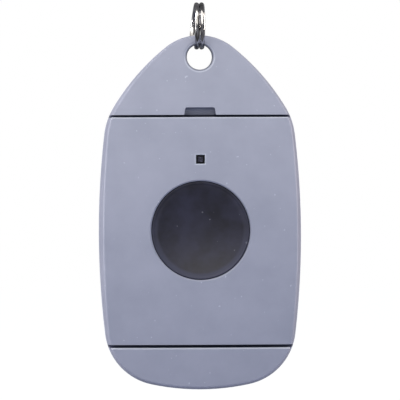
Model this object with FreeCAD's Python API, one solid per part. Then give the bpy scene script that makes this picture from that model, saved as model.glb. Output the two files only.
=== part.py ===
import FreeCAD, Part
import math
import os

# A medical alert pendant, in millimetres. It hangs upright from its split ring: the front faces -Y, +Z is up
# and the origin is the centre of the ring. The front and rear housings meet at y = 0.

# Split ring: two coils of steel wire, turned a little about the vertical, and how far its ends reach past the
# middle of the back
RING_OUTER_DIAMETER = 9.1
RING_WIRE = 0.8
RING_COIL_PITCH = 1.05
RING_SWIVEL_ANGLE = 1.0
RING_FIRST_END_ANGLE = 30.0
RING_LAST_END_ANGLE = 60.0
HANG_GAP = 0.17

# Lanyard hole and the web above it
HOLE_DIAMETER = 4.86
HOLE_EDGE_RADIUS = 0.7
WEB_HEIGHT = 1.8

# Outline of the housing at its widest, from the tip down one side: arcs tangent to each other, each with a
# radius and the degrees that it turns. The arc of the foot closes the outline.
TIP_RADIUS = 10.2
TIP_ANGLE = 38.6
FLANK_RADIUS = 43.7
FLANK_ANGLE = 20.4
SHOULDER_RADIUS = 13.0
SHOULDER_ANGLE = 24.3
SIDE_RADIUS = 163.0
SIDE_ANGLE = 13.5
CORNER_RADIUS = 11.3
CORNER_ANGLE = 71.0

# Front: doubly crowned face, highest in its middle
FRONT_RISE = 6.15
FRONT_TIP_RISE = 0.62
CROWN_DROP = 37.5
CROWN_HALF_ANGLE = 12.0
FACE_CROSS_RADIUS = 150.0
FRONT_DRAFT_ANGLE = 9.0
EDGE_RADIUS = 0.4

# Back: a flat land with a ramp towards the head and one towards the foot
BACK_TIP_RISE = 0.6
BACK_HEAD_ANGLE = 14.5
BACK_FOOT_RISE = 2.8
BACK_FOOT_ANGLE = 16.0
BACK_DRAFT_ANGLE = 18.0
LAND_BLEND_RADIUS = 20.0

# Walls and the hollow inside
WALL = 1.5
HEAD_SOLID = 8.7

# Button and grooves down the front, the pry notch and the cover between the grooves
TOP_GROOVE_DROP = 15.58
TOP_GROOVE_WIDTH = 0.43
BUTTON_BELOW_GROOVE = 21.95
BOTTOM_GROOVE_BELOW_BUTTON = 22.15
BOTTOM_GROOVE_WIDTH = 0.55
COVER_TOP_BEVEL = 0.25
FOOT_TOP_BEVEL = 0.3
NOTCH_WIDTH = 6.1
NOTCH_TOP_WIDTH = 5.6
NOTCH_HEIGHT = 1.5
NOTCH_DEPTH = 1.7
NOTCH_ROOF_FALL = 0.3
NOTCH_CORNER = 0.4
HEAD_BULKHEAD = 2.9
FOOT_BULKHEAD = 1.6
LEDGE_RISE = 1.7
COVER_SEAM = 0.1
RAIL_WIDTH = 3.4
CROSS_RAIL_WIDTH = 2.0

# Gasket between the cover and the ledge
SEAL_INSET = 0.8
SEAL_WIDTH = 0.7
SEAL_DEPTH = 0.6
SEAL_CLEARANCE = 0.03

# Pegs that hold the cover, and the lugs of the frame that take them
PEG_DIAMETER = 1.5
PEG_CLEARANCE = 0.05
PEG_X = 14.8
PEG_BELOW_TOP_GROOVE = 12.12
PEG_ABOVE_BOTTOM_GROOVE = 11.98
PEG_END_RISE = 0.4
PEG_LUG_DIAMETER = 3.4

# Call button
OPENING_DIAMETER = 18.9
OPENING_BEVEL = 0.28
CAP_CLEARANCE = 0.12
CAP_SINK = 0.15
CAP_RIM_WIDTH = 0.35
CAP_DISH_DEPTH = 1.3
CAP_WALL = 1.1
CAP_HEIGHT = 2.6
CAP_EDGE_RADIUS = 0.2
CAP_FLANGE_WIDTH = 0.75
CAP_FLANGE_THICKNESS = 0.6
CAP_SKIRT_WALL = 1.0
PLUNGER_DIAMETER = 3.2
BUTTON_TRAVEL = 0.5
STOP_GAP = 0.05

# Boss, diaphragm and clamping ring under the button
BOSS_WALL = 1.92
BOSS_BORE_CLEARANCE = 0.3
SEAT_GAP = 0.15
DIAPHRAGM_THICKNESS = 0.4
PLUNGER_GAP = 0.03
CLAMP_THICKNESS = 0.8
CLAMP_LIP = 1.6
CLAMP_SCREW_ANGLES = (0.0, 112.0, -112.0)
CLAMP_SCREW_DIAMETER = 0.8
CLAMP_SCREW_HEAD = 1.5
CLAMP_SCREW_HEAD_HEIGHT = 0.35
CLAMP_SCREW_LENGTH = 2.2

# Status window and its light pipe
WINDOW_BOSS_GAP = 0.03
WINDOW_SIZE = 1.7
WINDOW_BEVEL = 0.12
PIPE_TIP_SIZE = 1.1
PIPE_SIZE = 1.56
PIPE_TIP_SINK = 0.25
PIPE_STEP = 0.35
PIPE_FLANGE_SIZE = 2.6
PIPE_FLANGE_THICKNESS = 0.5
PIPE_LED_GAP = 0.3

# Circuit board on its posts
BOARD_POST_HEIGHT = 0.7
BOARD_THICKNESS = 1.0
BOARD_INSET = 3.3
BOARD_BELOW_TOP_GROOVE = 3.52
BOARD_ABOVE_BOTTOM_GROOVE = 1.08
BOARD_POST_X = 13.2
BOARD_POST_BELOW_BOARD_TOP = 12.6
BOARD_POST_BELOW_BUTTON = 6.67
BOARD_POST_DIAMETER = 3.0
BOARD_SCREW_DIAMETER = 1.2
BOARD_SCREW_HEAD = 2.2
BOARD_SCREW_HEAD_HEIGHT = 0.8
BOARD_SCREW_LENGTH = 2.4
NOTCH_GAP = 0.3

# Screws that join the two housings, in bosses at the corners
CASE_SCREW_X = 14.4
CASE_SCREW_BELOW_TOP_GROOVE = 5.02
CASE_SCREW_ABOVE_BOTTOM_GROOVE = 4.28
CASE_BOSS_DIAMETER = 3.6
CASE_SCREW_DIAMETER = 1.4
CASE_SCREW_HEAD = 2.6
CASE_SCREW_HEAD_HEIGHT = 0.9
CASE_SCREW_LENGTH = 4.6
CASE_SCREW_SINK = 0.5
SCREW_CLEARANCE = 0.1
THREAD_FIT = 0.04
SCREW_SLOT_DEPTH = 0.4
SCREW_SLOT_WIDTH = 0.35

# Coin cell, its holder and contacts
CELL_DIAMETER = 16.0
CELL_THICKNESS = 3.2
CELL_BELOW_SWITCH = 0.57
CELL_LIP = 0.9
CELL_CAN_EDGE = 0.4
HOLDER_BASE = 0.4
HOLDER_WALL = 1.0
HOLDER_CLEARANCE = 0.15
HOLDER_HEIGHT = 2.4
HOLDER_MOUTH = 9.0
CONTACT_SHEET = 0.25
CONTACT_CLAMP_GAP = 0.1
CONTACT_WIDTH = 3.0
CONTACT_REACH = 4.0
CONTACT_DROP = 2.6
LEAF_WIDTH = 4.0
LEAF_LENGTH = 11.0

# Tactile switch
SWITCH_SIZE = 6.0
SWITCH_BASE_HEIGHT = 2.9
SWITCH_PLATE = 0.3
SWITCH_POCKET_DIAMETER = 4.9
SWITCH_FLOOR = 0.5
STEM_DIAMETER = 3.2
STEM_COLLAR_DIAMETER = 4.5
STEM_CLEARANCE = 0.1
STEM_TOP_GAP = 0.02
DOME_DIAMETER = 4.6
DOME_HEIGHT = 0.8
DOME_SHEET = 0.1
TERMINAL_WIDTH = 0.7
TERMINAL_SHEET = 0.2
TERMINAL_REACH = 1.1
TERMINAL_SPACING = 4.5

# Electronic parts on the board. A size is the width, the height along the pendant and the thickness, and a
# place is the x and the distance below the top edge of the board.
LED_SIZE = (2.0, 1.3, 0.5)
LED_LENS_DIAMETER = 1.1
CHIP_SIZE = (6.0, 6.0, 1.2)
CHIP_PLACE = (-8.6, 7.9)
CHIP_LEADS = 8
CHIP_LEAD_PITCH = 0.65
CHIP_LEAD_WIDTH = 0.3
CHIP_LEAD_REACH = 0.9
CHIP_LEAD_SHEET = 0.15
RADIO_SIZE = (4.0, 4.0, 0.9)
RADIO_PLACE = (8.2, 7.3)
CRYSTAL_SIZE = (3.2, 5.0, 1.2)
CRYSTAL_PLACE = (12.9, 6.5)
RESONATOR_SIZE = (3.8, 3.8, 1.4)
RESONATOR_PLACE = (5.0, 2.5)
TRIMMER_SIZE = (4.2, 3.6, 1.3)
TRIMMER_PLACE = (-5.2, 2.5)
TRIMMER_ROTOR_DIAMETER = 2.8
TRIMMER_ROTOR_HEIGHT = 0.4
LID_EDGE = 0.25
CAPACITOR_SIZE = (1.6, 0.8, 0.8)
CAPACITOR_PLACES = ((-3.2, 5.3), (3.4, 5.5), (8.2, 11.1), (-14.0, 5.5), (-13.2, 17.2), (13.4, 17.2))
RESISTOR_SIZE = (1.6, 0.8, 0.45)
RESISTOR_PLACES = ((2.4, 8.1), (-3.0, 8.1), (9.8, 3.5), (-13.2, 15.1), (13.4, 15.1), (13.4, 19.3))
END_CAP = 0.3

# Loop antenna: a wire that rises from the board into the head
ANTENNA_WIRE = 0.7
ANTENNA_HALF_SPAN = 8.6
ANTENNA_BELOW_BOARD_TOP = 1.5
ANTENNA_TOP_DROP = 11.5
ANTENNA_TOP_HALF_SPAN = 4.6
ANTENNA_PLANE = 0.6
ANTENNA_BEND_RADIUS = 1.0

# Blank label in its recess on the back
LABEL_WIDTH = 22.0
LABEL_HEIGHT = 13.0
LABEL_DEPTH = 0.25
LABEL_SHEET = 0.2
LABEL_CORNER = 1.5
LABEL_MARGIN = 0.15
LABEL_BELOW_BUTTON = 0.0

# Reach of the blocks that trim a shape, well past the housing, and a short reach past what is trimmed
FAR = 60.0
PAST = 3.0


# Places worked out from the sizes above

RING_RADIUS = (RING_OUTER_DIAMETER - RING_WIRE) / 2
RING_INNER_RADIUS = RING_RADIUS - RING_WIRE / 2
HOLE_TOP_Z = HANG_GAP - RING_INNER_RADIUS
HOLE_Z = HOLE_TOP_Z - HOLE_DIAMETER / 2
BODY_TOP = HOLE_TOP_Z + WEB_HEIGHT


def height(drop):
    """The z of a place that lies this far below the tip of the housing."""
    return BODY_TOP - drop


CROWN_Z = height(CROWN_DROP)
TOP_GROOVE_Z = height(TOP_GROOVE_DROP)
BUTTON_Z = TOP_GROOVE_Z - BUTTON_BELOW_GROOVE
BOTTOM_GROOVE_Z = BUTTON_Z - BOTTOM_GROOVE_BELOW_BUTTON
HEAD_END_Z = TOP_GROOVE_Z + TOP_GROOVE_WIDTH / 2
COVER_TOP_Z = TOP_GROOVE_Z - TOP_GROOVE_WIDTH / 2
COVER_BOTTOM_Z = BOTTOM_GROOVE_Z + BOTTOM_GROOVE_WIDTH / 2
FOOT_TOP_Z = BOTTOM_GROOVE_Z - BOTTOM_GROOVE_WIDTH / 2
BOARD_TOP_Z = TOP_GROOVE_Z - BOARD_BELOW_TOP_GROOVE
BOARD_BOTTOM_Z = BOTTOM_GROOVE_Z + BOARD_ABOVE_BOTTOM_GROOVE
CELL_Z = BUTTON_Z - SWITCH_SIZE / 2 - CELL_BELOW_SWITCH - CELL_DIAMETER / 2
LEDGE_Y = -LEDGE_RISE
SKIRT_Y = LEDGE_Y - COVER_SEAM
CASE_HEAD_Y = LEDGE_Y + CASE_SCREW_SINK
FACE_FALL = FRONT_RISE - FRONT_TIP_RISE
FACE_LENGTH_RADIUS = (CROWN_DROP ** 2 + FACE_FALL ** 2) / (2 * FACE_FALL)


def tangent(degrees):
    return math.tan(math.radians(degrees))


def cosine(degrees):
    return math.cos(math.radians(degrees))


def point(x, y, z):
    return FreeCAD.Vector(x, y, z)


def block(x_low, x_high, y_low, y_high, z_low, z_high):
    """A box between the given corners."""
    size = (x_high - x_low, y_high - y_low, z_high - z_low)
    return Part.makeBox(*size, point(x_low, y_low, z_low))


def slab(z_low, z_high, y_low=-FAR, y_high=FAR):
    """Everything between two heights, and between two depths where they are given."""
    return block(-FAR, FAR, y_low, y_high, z_low, z_high)


def disc(diameter, y_front, y_back, x, z):
    """A cylinder along Y."""
    return Part.makeCylinder(diameter / 2, y_back - y_front, point(x, y_front, z), point(0, 1, 0))


def fuse(shapes):
    """One solid from shapes that touch."""
    first, *others = shapes
    joined = first.fuse(others).removeSplitter()
    return joined.Solids[0] if len(joined.Solids) == 1 else joined


def group(shapes):
    """Like pieces kept as separate solids in one node."""
    return Part.makeCompound(shapes)


def rounded_block(width, tall, y_front, y_back, x, z, corner):
    """A box centred on (x, z) with rounded corners in the X-Z plane."""
    solid = block(x - width / 2, x + width / 2, y_front, y_back, z - tall / 2, z + tall / 2)
    upright = [edge for edge in solid.Edges if abs(edge.Vertexes[0].Y - edge.Vertexes[1].Y) > 1e-6]
    return solid.makeFillet(corner, upright)


# Shape of the housing

def outline_arcs(inset):
    """The arcs down one side as (centre x, centre z, radius, first angle, last angle), angles from +Z."""
    turns = (
        (TIP_RADIUS, TIP_ANGLE),
        (FLANK_RADIUS, FLANK_ANGLE),
        (SHOULDER_RADIUS, SHOULDER_ANGLE),
        (SIDE_RADIUS, SIDE_ANGLE),
        (CORNER_RADIUS, CORNER_ANGLE),
    )
    arcs = []
    x, z, angle = 0.0, BODY_TOP, 0.0
    for radius, degrees in turns:
        centre_x = x - radius * math.sin(angle)
        centre_z = z - radius * math.cos(angle)
        end = angle + math.radians(degrees)
        arcs.append((centre_x, centre_z, radius - inset, angle, end))
        x = centre_x + radius * math.sin(end)
        z = centre_z + radius * math.cos(end)
        angle = end
    foot_radius = x / math.sin(angle)
    foot_z = z - foot_radius * math.cos(angle)
    arcs.append((0.0, foot_z, foot_radius - inset, angle, math.pi))
    return arcs


def outline_wire(inset, y):
    """The closed outline in the plane of the given y, drawn in by the inset."""
    arcs = outline_arcs(inset)

    def spot(arc, angle, side):
        centre_x, centre_z, radius = arc[:3]
        return point(side * (centre_x + radius * math.sin(angle)), y, centre_z + radius * math.cos(angle))

    tip, foot = arcs[0], arcs[-1]
    edges = [Part.Arc(spot(tip, tip[4], -1), spot(tip, 0.0, 1), spot(tip, tip[4], 1))]
    for arc in arcs[1:-1]:
        edges.append(Part.Arc(spot(arc, arc[3], 1), spot(arc, (arc[3] + arc[4]) / 2, 1), spot(arc, arc[4], 1)))
    edges.append(Part.Arc(spot(foot, foot[3], 1), spot(foot, math.pi, 1), spot(foot, foot[3], -1)))
    for arc in reversed(arcs[1:-1]):
        edges.append(Part.Arc(spot(arc, arc[4], -1), spot(arc, (arc[3] + arc[4]) / 2, -1), spot(arc, arc[3], -1)))
    return Part.Wire([edge.toShape() for edge in edges])


def outline_prism(inset, y_front, y_back):
    """A straight-sided block with the inset outline."""
    return Part.Face(outline_wire(inset, y_front)).extrude(point(0, y_back - y_front, 0))


def drafted(inset, y_end, draft):
    """A block from y = 0 to y_end whose sides lean in by the draft angle."""
    end_inset = inset + abs(y_end) * tangent(draft)
    return Part.makeLoft([outline_wire(inset, 0.0), outline_wire(end_inset, y_end)], True, True)


def front_half(inset):
    """The space inside the front face and sides, drawn in by the inset."""
    half_length = max(BODY_TOP - CROWN_Z, CROWN_Z - body_bottom()) + PAST
    radius = FACE_LENGTH_RADIUS - inset
    crown_y = inset - FRONT_RISE
    end_y = crown_y + radius - math.sqrt(radius ** 2 - half_length ** 2)
    top, low = CROWN_Z + half_length, CROWN_Z - half_length
    arc = Part.Arc(point(0, end_y, low), point(0, crown_y, CROWN_Z), point(0, end_y, top)).toShape()
    inner_y = max(end_y, 0.0) + PAST
    rest = Part.makePolygon([point(0, end_y, top), point(0, inner_y, top), point(0, inner_y, low),
                             point(0, end_y, low)])
    profile = Part.Face(Part.Wire([arc] + rest.Edges))
    axis_point = point(0, FACE_CROSS_RADIUS - FRONT_RISE, 0)
    profile.rotate(axis_point, point(0, 0, 1), -CROWN_HALF_ANGLE)
    crown = profile.revolve(axis_point, point(0, 0, 1), 2 * CROWN_HALF_ANGLE)
    return drafted(inset, -FRONT_RISE - PAST, FRONT_DRAFT_ANGLE).common(crown)


def back_ramp_y(z, rise, end_z, slope, inset):
    """The depth of a ramp of the back at height z, drawn in square to the ramp."""
    return rise + abs(z - end_z) * tangent(slope) - inset / cosine(slope)


def body_bottom():
    foot = outline_arcs(0.0)[-1]
    return foot[1] - foot[2]


def back_half(inset):
    """The space inside the back and its sides, drawn in by the inset."""
    land_y = BACK_RISE - inset
    low_end = body_bottom()
    head_y = back_ramp_y(BODY_TOP, BACK_TIP_RISE, BODY_TOP, BACK_HEAD_ANGLE, inset)
    foot_y = back_ramp_y(low_end, BACK_FOOT_RISE, low_end, BACK_FOOT_ANGLE, inset)
    land_top = BODY_TOP - (land_y - head_y) / tangent(BACK_HEAD_ANGLE)
    land_low = low_end + (land_y - foot_y) / tangent(BACK_FOOT_ANGLE)
    top_y = head_y - PAST * tangent(BACK_HEAD_ANGLE)
    low_y = foot_y - PAST * tangent(BACK_FOOT_ANGLE)
    corners = [(-FAR, BODY_TOP + PAST), (top_y, BODY_TOP + PAST), (land_y, land_top), (land_y, land_low),
               (low_y, low_end - PAST), (-FAR, low_end - PAST)]
    points = [point(-FAR, y, z) for y, z in corners]
    ramps = Part.Face(Part.makePolygon(points + points[:1])).extrude(point(2 * FAR, 0, 0))
    bends = [edge for edge in ramps.Edges if all(abs(corner.Y - land_y) < 1e-6 for corner in edge.Vertexes)
             and abs(edge.Vertexes[0].X - edge.Vertexes[1].X) > FAR]
    ramps = ramps.makeFillet(LAND_BLEND_RADIUS - inset, bends)
    return drafted(inset, BACK_RISE + PAST, BACK_DRAFT_ANGLE).common(ramps)


def edges_near(shape, test):
    """The edges whose every sampled point passes the test."""
    chosen = []
    for edge in shape.Edges:
        samples = [edge.valueAt(edge.FirstParameter + share * (edge.LastParameter - edge.FirstParameter))
                   for share in (0.0, 0.25, 0.5, 0.75, 1.0)]
        if all(test(sample) for sample in samples):
            chosen.append(edge)
    return chosen


def face_y(x, z):
    """The depth of the front face at (x, z)."""
    drop = FACE_LENGTH_RADIUS - math.sqrt(FACE_LENGTH_RADIUS ** 2 - (z - CROWN_Z) ** 2)
    return FACE_CROSS_RADIUS - FRONT_RISE - math.sqrt((FACE_CROSS_RADIUS - drop) ** 2 - x ** 2)


# What stacks up from the button through the cell and the board to the back

CAP_RADIUS = OPENING_DIAMETER / 2 - CAP_CLEARANCE
CAP_RIM_Y = max(face_y(0, BUTTON_Z + side * OPENING_DIAMETER / 2) for side in (-1, 1)) + CAP_SINK
CAP_BACK_Y = CAP_RIM_Y + CAP_HEIGHT
FLANGE_FRONT_Y = CAP_BACK_Y - CAP_FLANGE_THICKNESS
FLANGE_RADIUS = CAP_RADIUS + CAP_FLANGE_WIDTH
SLEEVE_END_Y = FLANGE_FRONT_Y - STOP_GAP
BOSS_BORE_RADIUS = FLANGE_RADIUS + BOSS_BORE_CLEARANCE
BOSS_RADIUS = BOSS_BORE_RADIUS + BOSS_WALL
WINDOW_Z = BUTTON_Z + BOSS_RADIUS + WINDOW_BOSS_GAP + PIPE_FLANGE_SIZE / 2
BOSS_END_Y = CAP_BACK_Y + BUTTON_TRAVEL + SEAT_GAP
CLAMP_FRONT_Y = BOSS_END_Y + DIAPHRAGM_THICKNESS
CLAMP_BACK_Y = CLAMP_FRONT_Y + CLAMP_THICKNESS
STEM_TOP_Y = CLAMP_FRONT_Y + STEM_TOP_GAP
CELL_FRONT_Y = CLAMP_BACK_Y + CONTACT_CLAMP_GAP + CONTACT_SHEET
CELL_BACK_Y = CELL_FRONT_Y + CELL_THICKNESS
BOARD_FRONT_Y = CELL_BACK_Y + HOLDER_BASE
BOARD_BACK_Y = BOARD_FRONT_Y + BOARD_THICKNESS
BACK_FLOOR_Y = BOARD_BACK_Y + BOARD_POST_HEIGHT
BACK_RISE = BACK_FLOOR_Y + WALL
LED_TOP_Y = BOARD_FRONT_Y - LED_SIZE[2] - LED_LENS_DIAMETER / 2
print("back land at y =", round(BACK_RISE, 4), "mm, lanyard hole at z =", round(HOLE_Z, 4), "mm")


def sides(x, heights):
    """The four places at plus and minus x and at each height."""
    return [(side * x, z) for z in heights for side in (-1, 1)]


PEG_PLACES = sides(PEG_X, (TOP_GROOVE_Z - PEG_BELOW_TOP_GROOVE, BOTTOM_GROOVE_Z + PEG_ABOVE_BOTTOM_GROOVE))
CASE_SCREW_PLACES = sides(CASE_SCREW_X, (TOP_GROOVE_Z - CASE_SCREW_BELOW_TOP_GROOVE,
                                         BOTTOM_GROOVE_Z + CASE_SCREW_ABOVE_BOTTOM_GROOVE))
BOARD_POST_PLACES = sides(BOARD_POST_X, (BOARD_TOP_Z - BOARD_POST_BELOW_BOARD_TOP,
                                         BUTTON_Z - BOARD_POST_BELOW_BUTTON))
CLAMP_SCREW_RADIUS = BOSS_BORE_RADIUS + BOSS_WALL / 2
CLAMP_SCREW_PLACES = [(CLAMP_SCREW_RADIUS * math.sin(math.radians(angle)),
                       BUTTON_Z + CLAMP_SCREW_RADIUS * cosine(angle)) for angle in CLAMP_SCREW_ANGLES]


def screw(x, z, head_y, shank, head, head_height, length):
    """A slotted pan-head screw whose head stands in front of head_y and whose shank goes into the pendant."""
    cap = disc(head, head_y - head_height, head_y, x, z)
    rim = edges_near(cap, lambda p: p.y < head_y - head_height + 1e-4)
    cap = cap.makeFillet(head_height * 0.4, rim)
    slot = block(x - SCREW_SLOT_WIDTH / 2, x + SCREW_SLOT_WIDTH / 2, head_y - head_height - 1,
                 head_y - head_height + min(SCREW_SLOT_DEPTH, head_height * 0.6), z - head, z + head)
    tail = disc(shank, head_y, head_y + length, x, z)
    end = edges_near(tail, lambda p: p.y > head_y + length - 1e-4)
    return fuse([cap.cut(slot), tail.makeChamfer(shank * 0.25, end)])


def bored(shape, diameter, y_front, y_back, places):
    """The shape with a hole along Y at each place."""
    return shape.cut([disc(diameter, y_front, y_back, x, z) for x, z in places])


def with_lanyard_hole(shape, mouth_y):
    """The shape with the lanyard hole through it, its outer mouth rounded over."""
    holed = shape.cut(disc(HOLE_DIAMETER, -FAR, FAR, 0, HOLE_Z))
    radius = HOLE_DIAMETER / 2

    def on_mouth(p):
        return abs(math.hypot(p.x, p.z - HOLE_Z) - radius) < 1e-3 and p.y * mouth_y > 0.1

    return holed.makeFillet(HOLE_EDGE_RADIUS, edges_near(holed, on_mouth))


def rounded_front():
    """The whole front half with its edge rounded over."""
    solid = front_half(0.0)
    return solid.makeFillet(EDGE_RADIUS, edges_near(solid, lambda p: p.y < -EDGE_RADIUS / 2))


# The pieces

def arc_from(start, heading, end):
    """The arc from start to end that leaves start in the given heading."""
    chord = end - start
    inward = (chord - heading * chord.dot(heading)).normalize()
    radius = chord.dot(chord) / (2 * chord.dot(inward))
    centre = start + inward * radius
    outward = ((start + end) / 2 - centre).normalize()
    return Part.Arc(start, centre + outward * radius, end)


def least_gap(path, diameter, apart):
    """The least gap of a wire to itself, measured on points that lie at least this far apart along it."""
    step = diameter / 4
    spots = path.discretize(Distance=step)
    skip = math.ceil(apart / step)
    return min(spot.distanceToPoint(other) for number, spot in enumerate(spots)
               for other in spots[number + skip:]) - diameter


def split_ring():
    """Two coils of wire side by side. Their front halves are flat, and the wire steps sideways round the back,
    where both its ends lie beside the step between the coils."""
    half_pitch = RING_COIL_PITCH / 2
    back_y = math.hypot(RING_RADIUS, half_pitch)
    climb = point(half_pitch, 0, RING_RADIUS).normalize()

    def front_half(x):
        ends = (point(x, 0, RING_RADIUS), point(x, 0, -RING_RADIUS))
        return Part.Arc(ends[0], point(x, -RING_RADIUS, 0), ends[1]).toShape()

    def lower_quarter(x):
        return arc_from(point(x, 0, -RING_RADIUS), point(0, 1, 0), point(x + half_pitch, back_y, 0))

    def upper_quarter(x):
        return arc_from(point(x - half_pitch, back_y, 0), climb, point(x, 0, RING_RADIUS)).toShape()

    entry = lower_quarter(-3 * half_pitch)
    leave = lower_quarter(half_pitch)
    path = Part.Wire([
        entry.toShape(entry.LastParameter - math.radians(RING_FIRST_END_ANGLE), entry.LastParameter),
        upper_quarter(-half_pitch),
        front_half(-half_pitch),
        lower_quarter(-half_pitch).toShape(),
        upper_quarter(half_pitch),
        front_half(half_pitch),
        leave.toShape(leave.FirstParameter, leave.FirstParameter + math.radians(RING_LAST_END_ANGLE)),
    ])
    first = path.Edges[0]
    start = first.valueAt(first.FirstParameter)
    section = Part.Wire(Part.makeCircle(RING_WIRE / 2, start, first.tangentAt(first.FirstParameter)))
    ring = path.makePipeShell([section], True, False)
    ring.rotate(point(0, 0, 0), point(0, 0, 1), RING_SWIVEL_ANGLE)
    print("split ring: least gap between its coils", round(least_gap(path, RING_WIRE, 2 * RING_RADIUS), 3), "mm")
    return ring


def front_frame():
    """Head, foot and side rails in one moulding, with the ledge and lugs that the cover goes on."""
    frame = rounded_front()
    frame = frame.cut(slab(FOOT_TOP_Z, HEAD_END_Z, -FAR, LEDGE_Y))
    top_of_foot = edges_near(frame, lambda p: abs(p.z - FOOT_TOP_Z) < 1e-3 and p.y < LEDGE_Y - 1e-3)
    frame = frame.makeChamfer(FOOT_TOP_BEVEL, [max(top_of_foot, key=lambda edge: edge.Length)])
    hollow = front_half(WALL)
    head_hollow = hollow.common(slab(HEAD_END_Z + HEAD_BULKHEAD, BODY_TOP - HEAD_SOLID))
    foot_hollow = hollow.common(slab(-FAR * 2, FOOT_TOP_Z - FOOT_BULKHEAD))
    window = outline_prism(RAIL_WIDTH, LEDGE_Y - 1, 1)
    window = window.common(slab(COVER_BOTTOM_Z + CROSS_RAIL_WIDTH, COVER_TOP_Z - CROSS_RAIL_WIDTH))
    frame = frame.cut([head_hollow, foot_hollow, window])
    lugs = [disc(PEG_LUG_DIAMETER, LEDGE_Y, 0, x, z) for x, z in PEG_PLACES]
    lugs += [disc(CASE_BOSS_DIAMETER, LEDGE_Y, 0, x, z) for x, z in CASE_SCREW_PLACES]
    frame = fuse([frame] + lugs)
    frame = bored(frame, PEG_DIAMETER + 2 * PEG_CLEARANCE, LEDGE_Y - 1, 1, PEG_PLACES)
    frame = bored(frame, CASE_SCREW_DIAMETER + 2 * SCREW_CLEARANCE, LEDGE_Y - 1, 1, CASE_SCREW_PLACES)
    frame = bored(frame, CASE_SCREW_HEAD + 2 * SCREW_CLEARANCE, LEDGE_Y - 1, CASE_HEAD_Y, CASE_SCREW_PLACES)
    frame = frame.cut(seal_loop(0.0, LEDGE_Y - 1, LEDGE_Y + SEAL_DEPTH))
    return with_lanyard_hole(frame.cut(pry_notch()), -1)


def pry_notch():
    """The recess above the upper groove where a coin or blade lifts the cover. Its roof falls towards its floor
    and its upper corners are rounded."""
    mouth_y = face_y(0, HEAD_END_Z)
    low_z = HEAD_END_Z - TOP_GROOVE_WIDTH / 2
    slope = NOTCH_ROOF_FALL / NOTCH_DEPTH

    def opening(y):
        roof_z = HEAD_END_Z + NOTCH_HEIGHT - slope * (y - mouth_y)
        low, high = NOTCH_WIDTH / 2, NOTCH_TOP_WIDTH / 2
        corners = [point(-low, y, low_z), point(low, y, low_z), point(high, y, roof_z), point(-high, y, roof_z)]
        return Part.makePolygon(corners + corners[:1])

    notch = Part.makeLoft([opening(mouth_y - PAST), opening(mouth_y + NOTCH_DEPTH)], True, True)
    roof_corners = edges_near(notch, lambda p: p.z > HEAD_END_Z + NOTCH_HEIGHT / 2
                              and abs(abs(p.x) - NOTCH_TOP_WIDTH / 2) < 1e-3)
    return notch.makeFillet(NOTCH_CORNER, roof_corners)


def seal_loop(clearance, y_front, y_back):
    """The gasket's loop round the ledge; a clearance makes the loop thinner on both sides."""
    outer = SEAL_INSET + clearance
    inner = SEAL_INSET + SEAL_WIDTH - clearance
    outside = outline_prism(outer, y_front, y_back)
    outside = outside.common(slab(COVER_BOTTOM_Z + outer, COVER_TOP_Z - outer))
    inside = outline_prism(inner, y_front, y_back)
    inside = inside.common(slab(COVER_BOTTOM_Z + inner, COVER_TOP_Z - inner))
    return outside.cut(inside)


def cover_seal():
    return seal_loop(SEAL_CLEARANCE, SKIRT_Y + SEAL_CLEARANCE, LEDGE_Y + SEAL_DEPTH)


def rear_shell():
    """The back moulding, with bosses for the case screws and posts for the board."""
    shell = back_half(0.0)
    rim = edges_near(shell, lambda p: p.y > EDGE_RADIUS / 2)
    rim = [edge for edge in rim if edge.BoundBox.ZLength > 0.01 or edge.BoundBox.YLength > 0.01
           or abs(edge.BoundBox.ZMin - body_bottom()) < 0.1]
    shell = shell.makeFillet(EDGE_RADIUS, rim)
    shell = shell.cut(back_half(WALL).common(slab(-FAR * 2, BODY_TOP - HEAD_SOLID)))
    posts = [disc(CASE_BOSS_DIAMETER, 0, BACK_FLOOR_Y + WALL / 2, x, z) for x, z in CASE_SCREW_PLACES]
    posts += [disc(BOARD_POST_DIAMETER, BOARD_BACK_Y, BACK_FLOOR_Y + WALL / 2, x, z) for x, z in BOARD_POST_PLACES]
    shell = fuse([shell] + posts)
    case_tip = CASE_HEAD_Y + CASE_SCREW_LENGTH + SCREW_CLEARANCE
    board_tip = BOARD_FRONT_Y + BOARD_SCREW_LENGTH + SCREW_CLEARANCE
    shell = bored(shell, CASE_SCREW_DIAMETER + THREAD_FIT, -1, case_tip, CASE_SCREW_PLACES)
    shell = bored(shell, BOARD_SCREW_DIAMETER + THREAD_FIT, BOARD_BACK_Y - 1, board_tip, BOARD_POST_PLACES)
    shell = shell.cut(label_block(LABEL_MARGIN, BACK_RISE - LABEL_DEPTH, BACK_RISE + 1))
    return with_lanyard_hole(shell, 1)


def label_block(margin, y_front, y_back):
    return rounded_block(LABEL_WIDTH + 2 * margin, LABEL_HEIGHT + 2 * margin, y_front, y_back, 0,
                         BUTTON_Z - LABEL_BELOW_BUTTON, LABEL_CORNER + margin)


def rear_label():
    return label_block(0.0, BACK_RISE - LABEL_DEPTH, BACK_RISE - LABEL_DEPTH + LABEL_SHEET)


def case_screws():
    return group([screw(x, z, CASE_HEAD_Y, CASE_SCREW_DIAMETER, CASE_SCREW_HEAD, CASE_SCREW_HEAD_HEIGHT,
                        CASE_SCREW_LENGTH) for x, z in CASE_SCREW_PLACES])


def board_screws():
    return group([screw(x, z, BOARD_FRONT_Y, BOARD_SCREW_DIAMETER, BOARD_SCREW_HEAD, BOARD_SCREW_HEAD_HEIGHT,
                        BOARD_SCREW_LENGTH) for x, z in BOARD_POST_PLACES])


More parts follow.
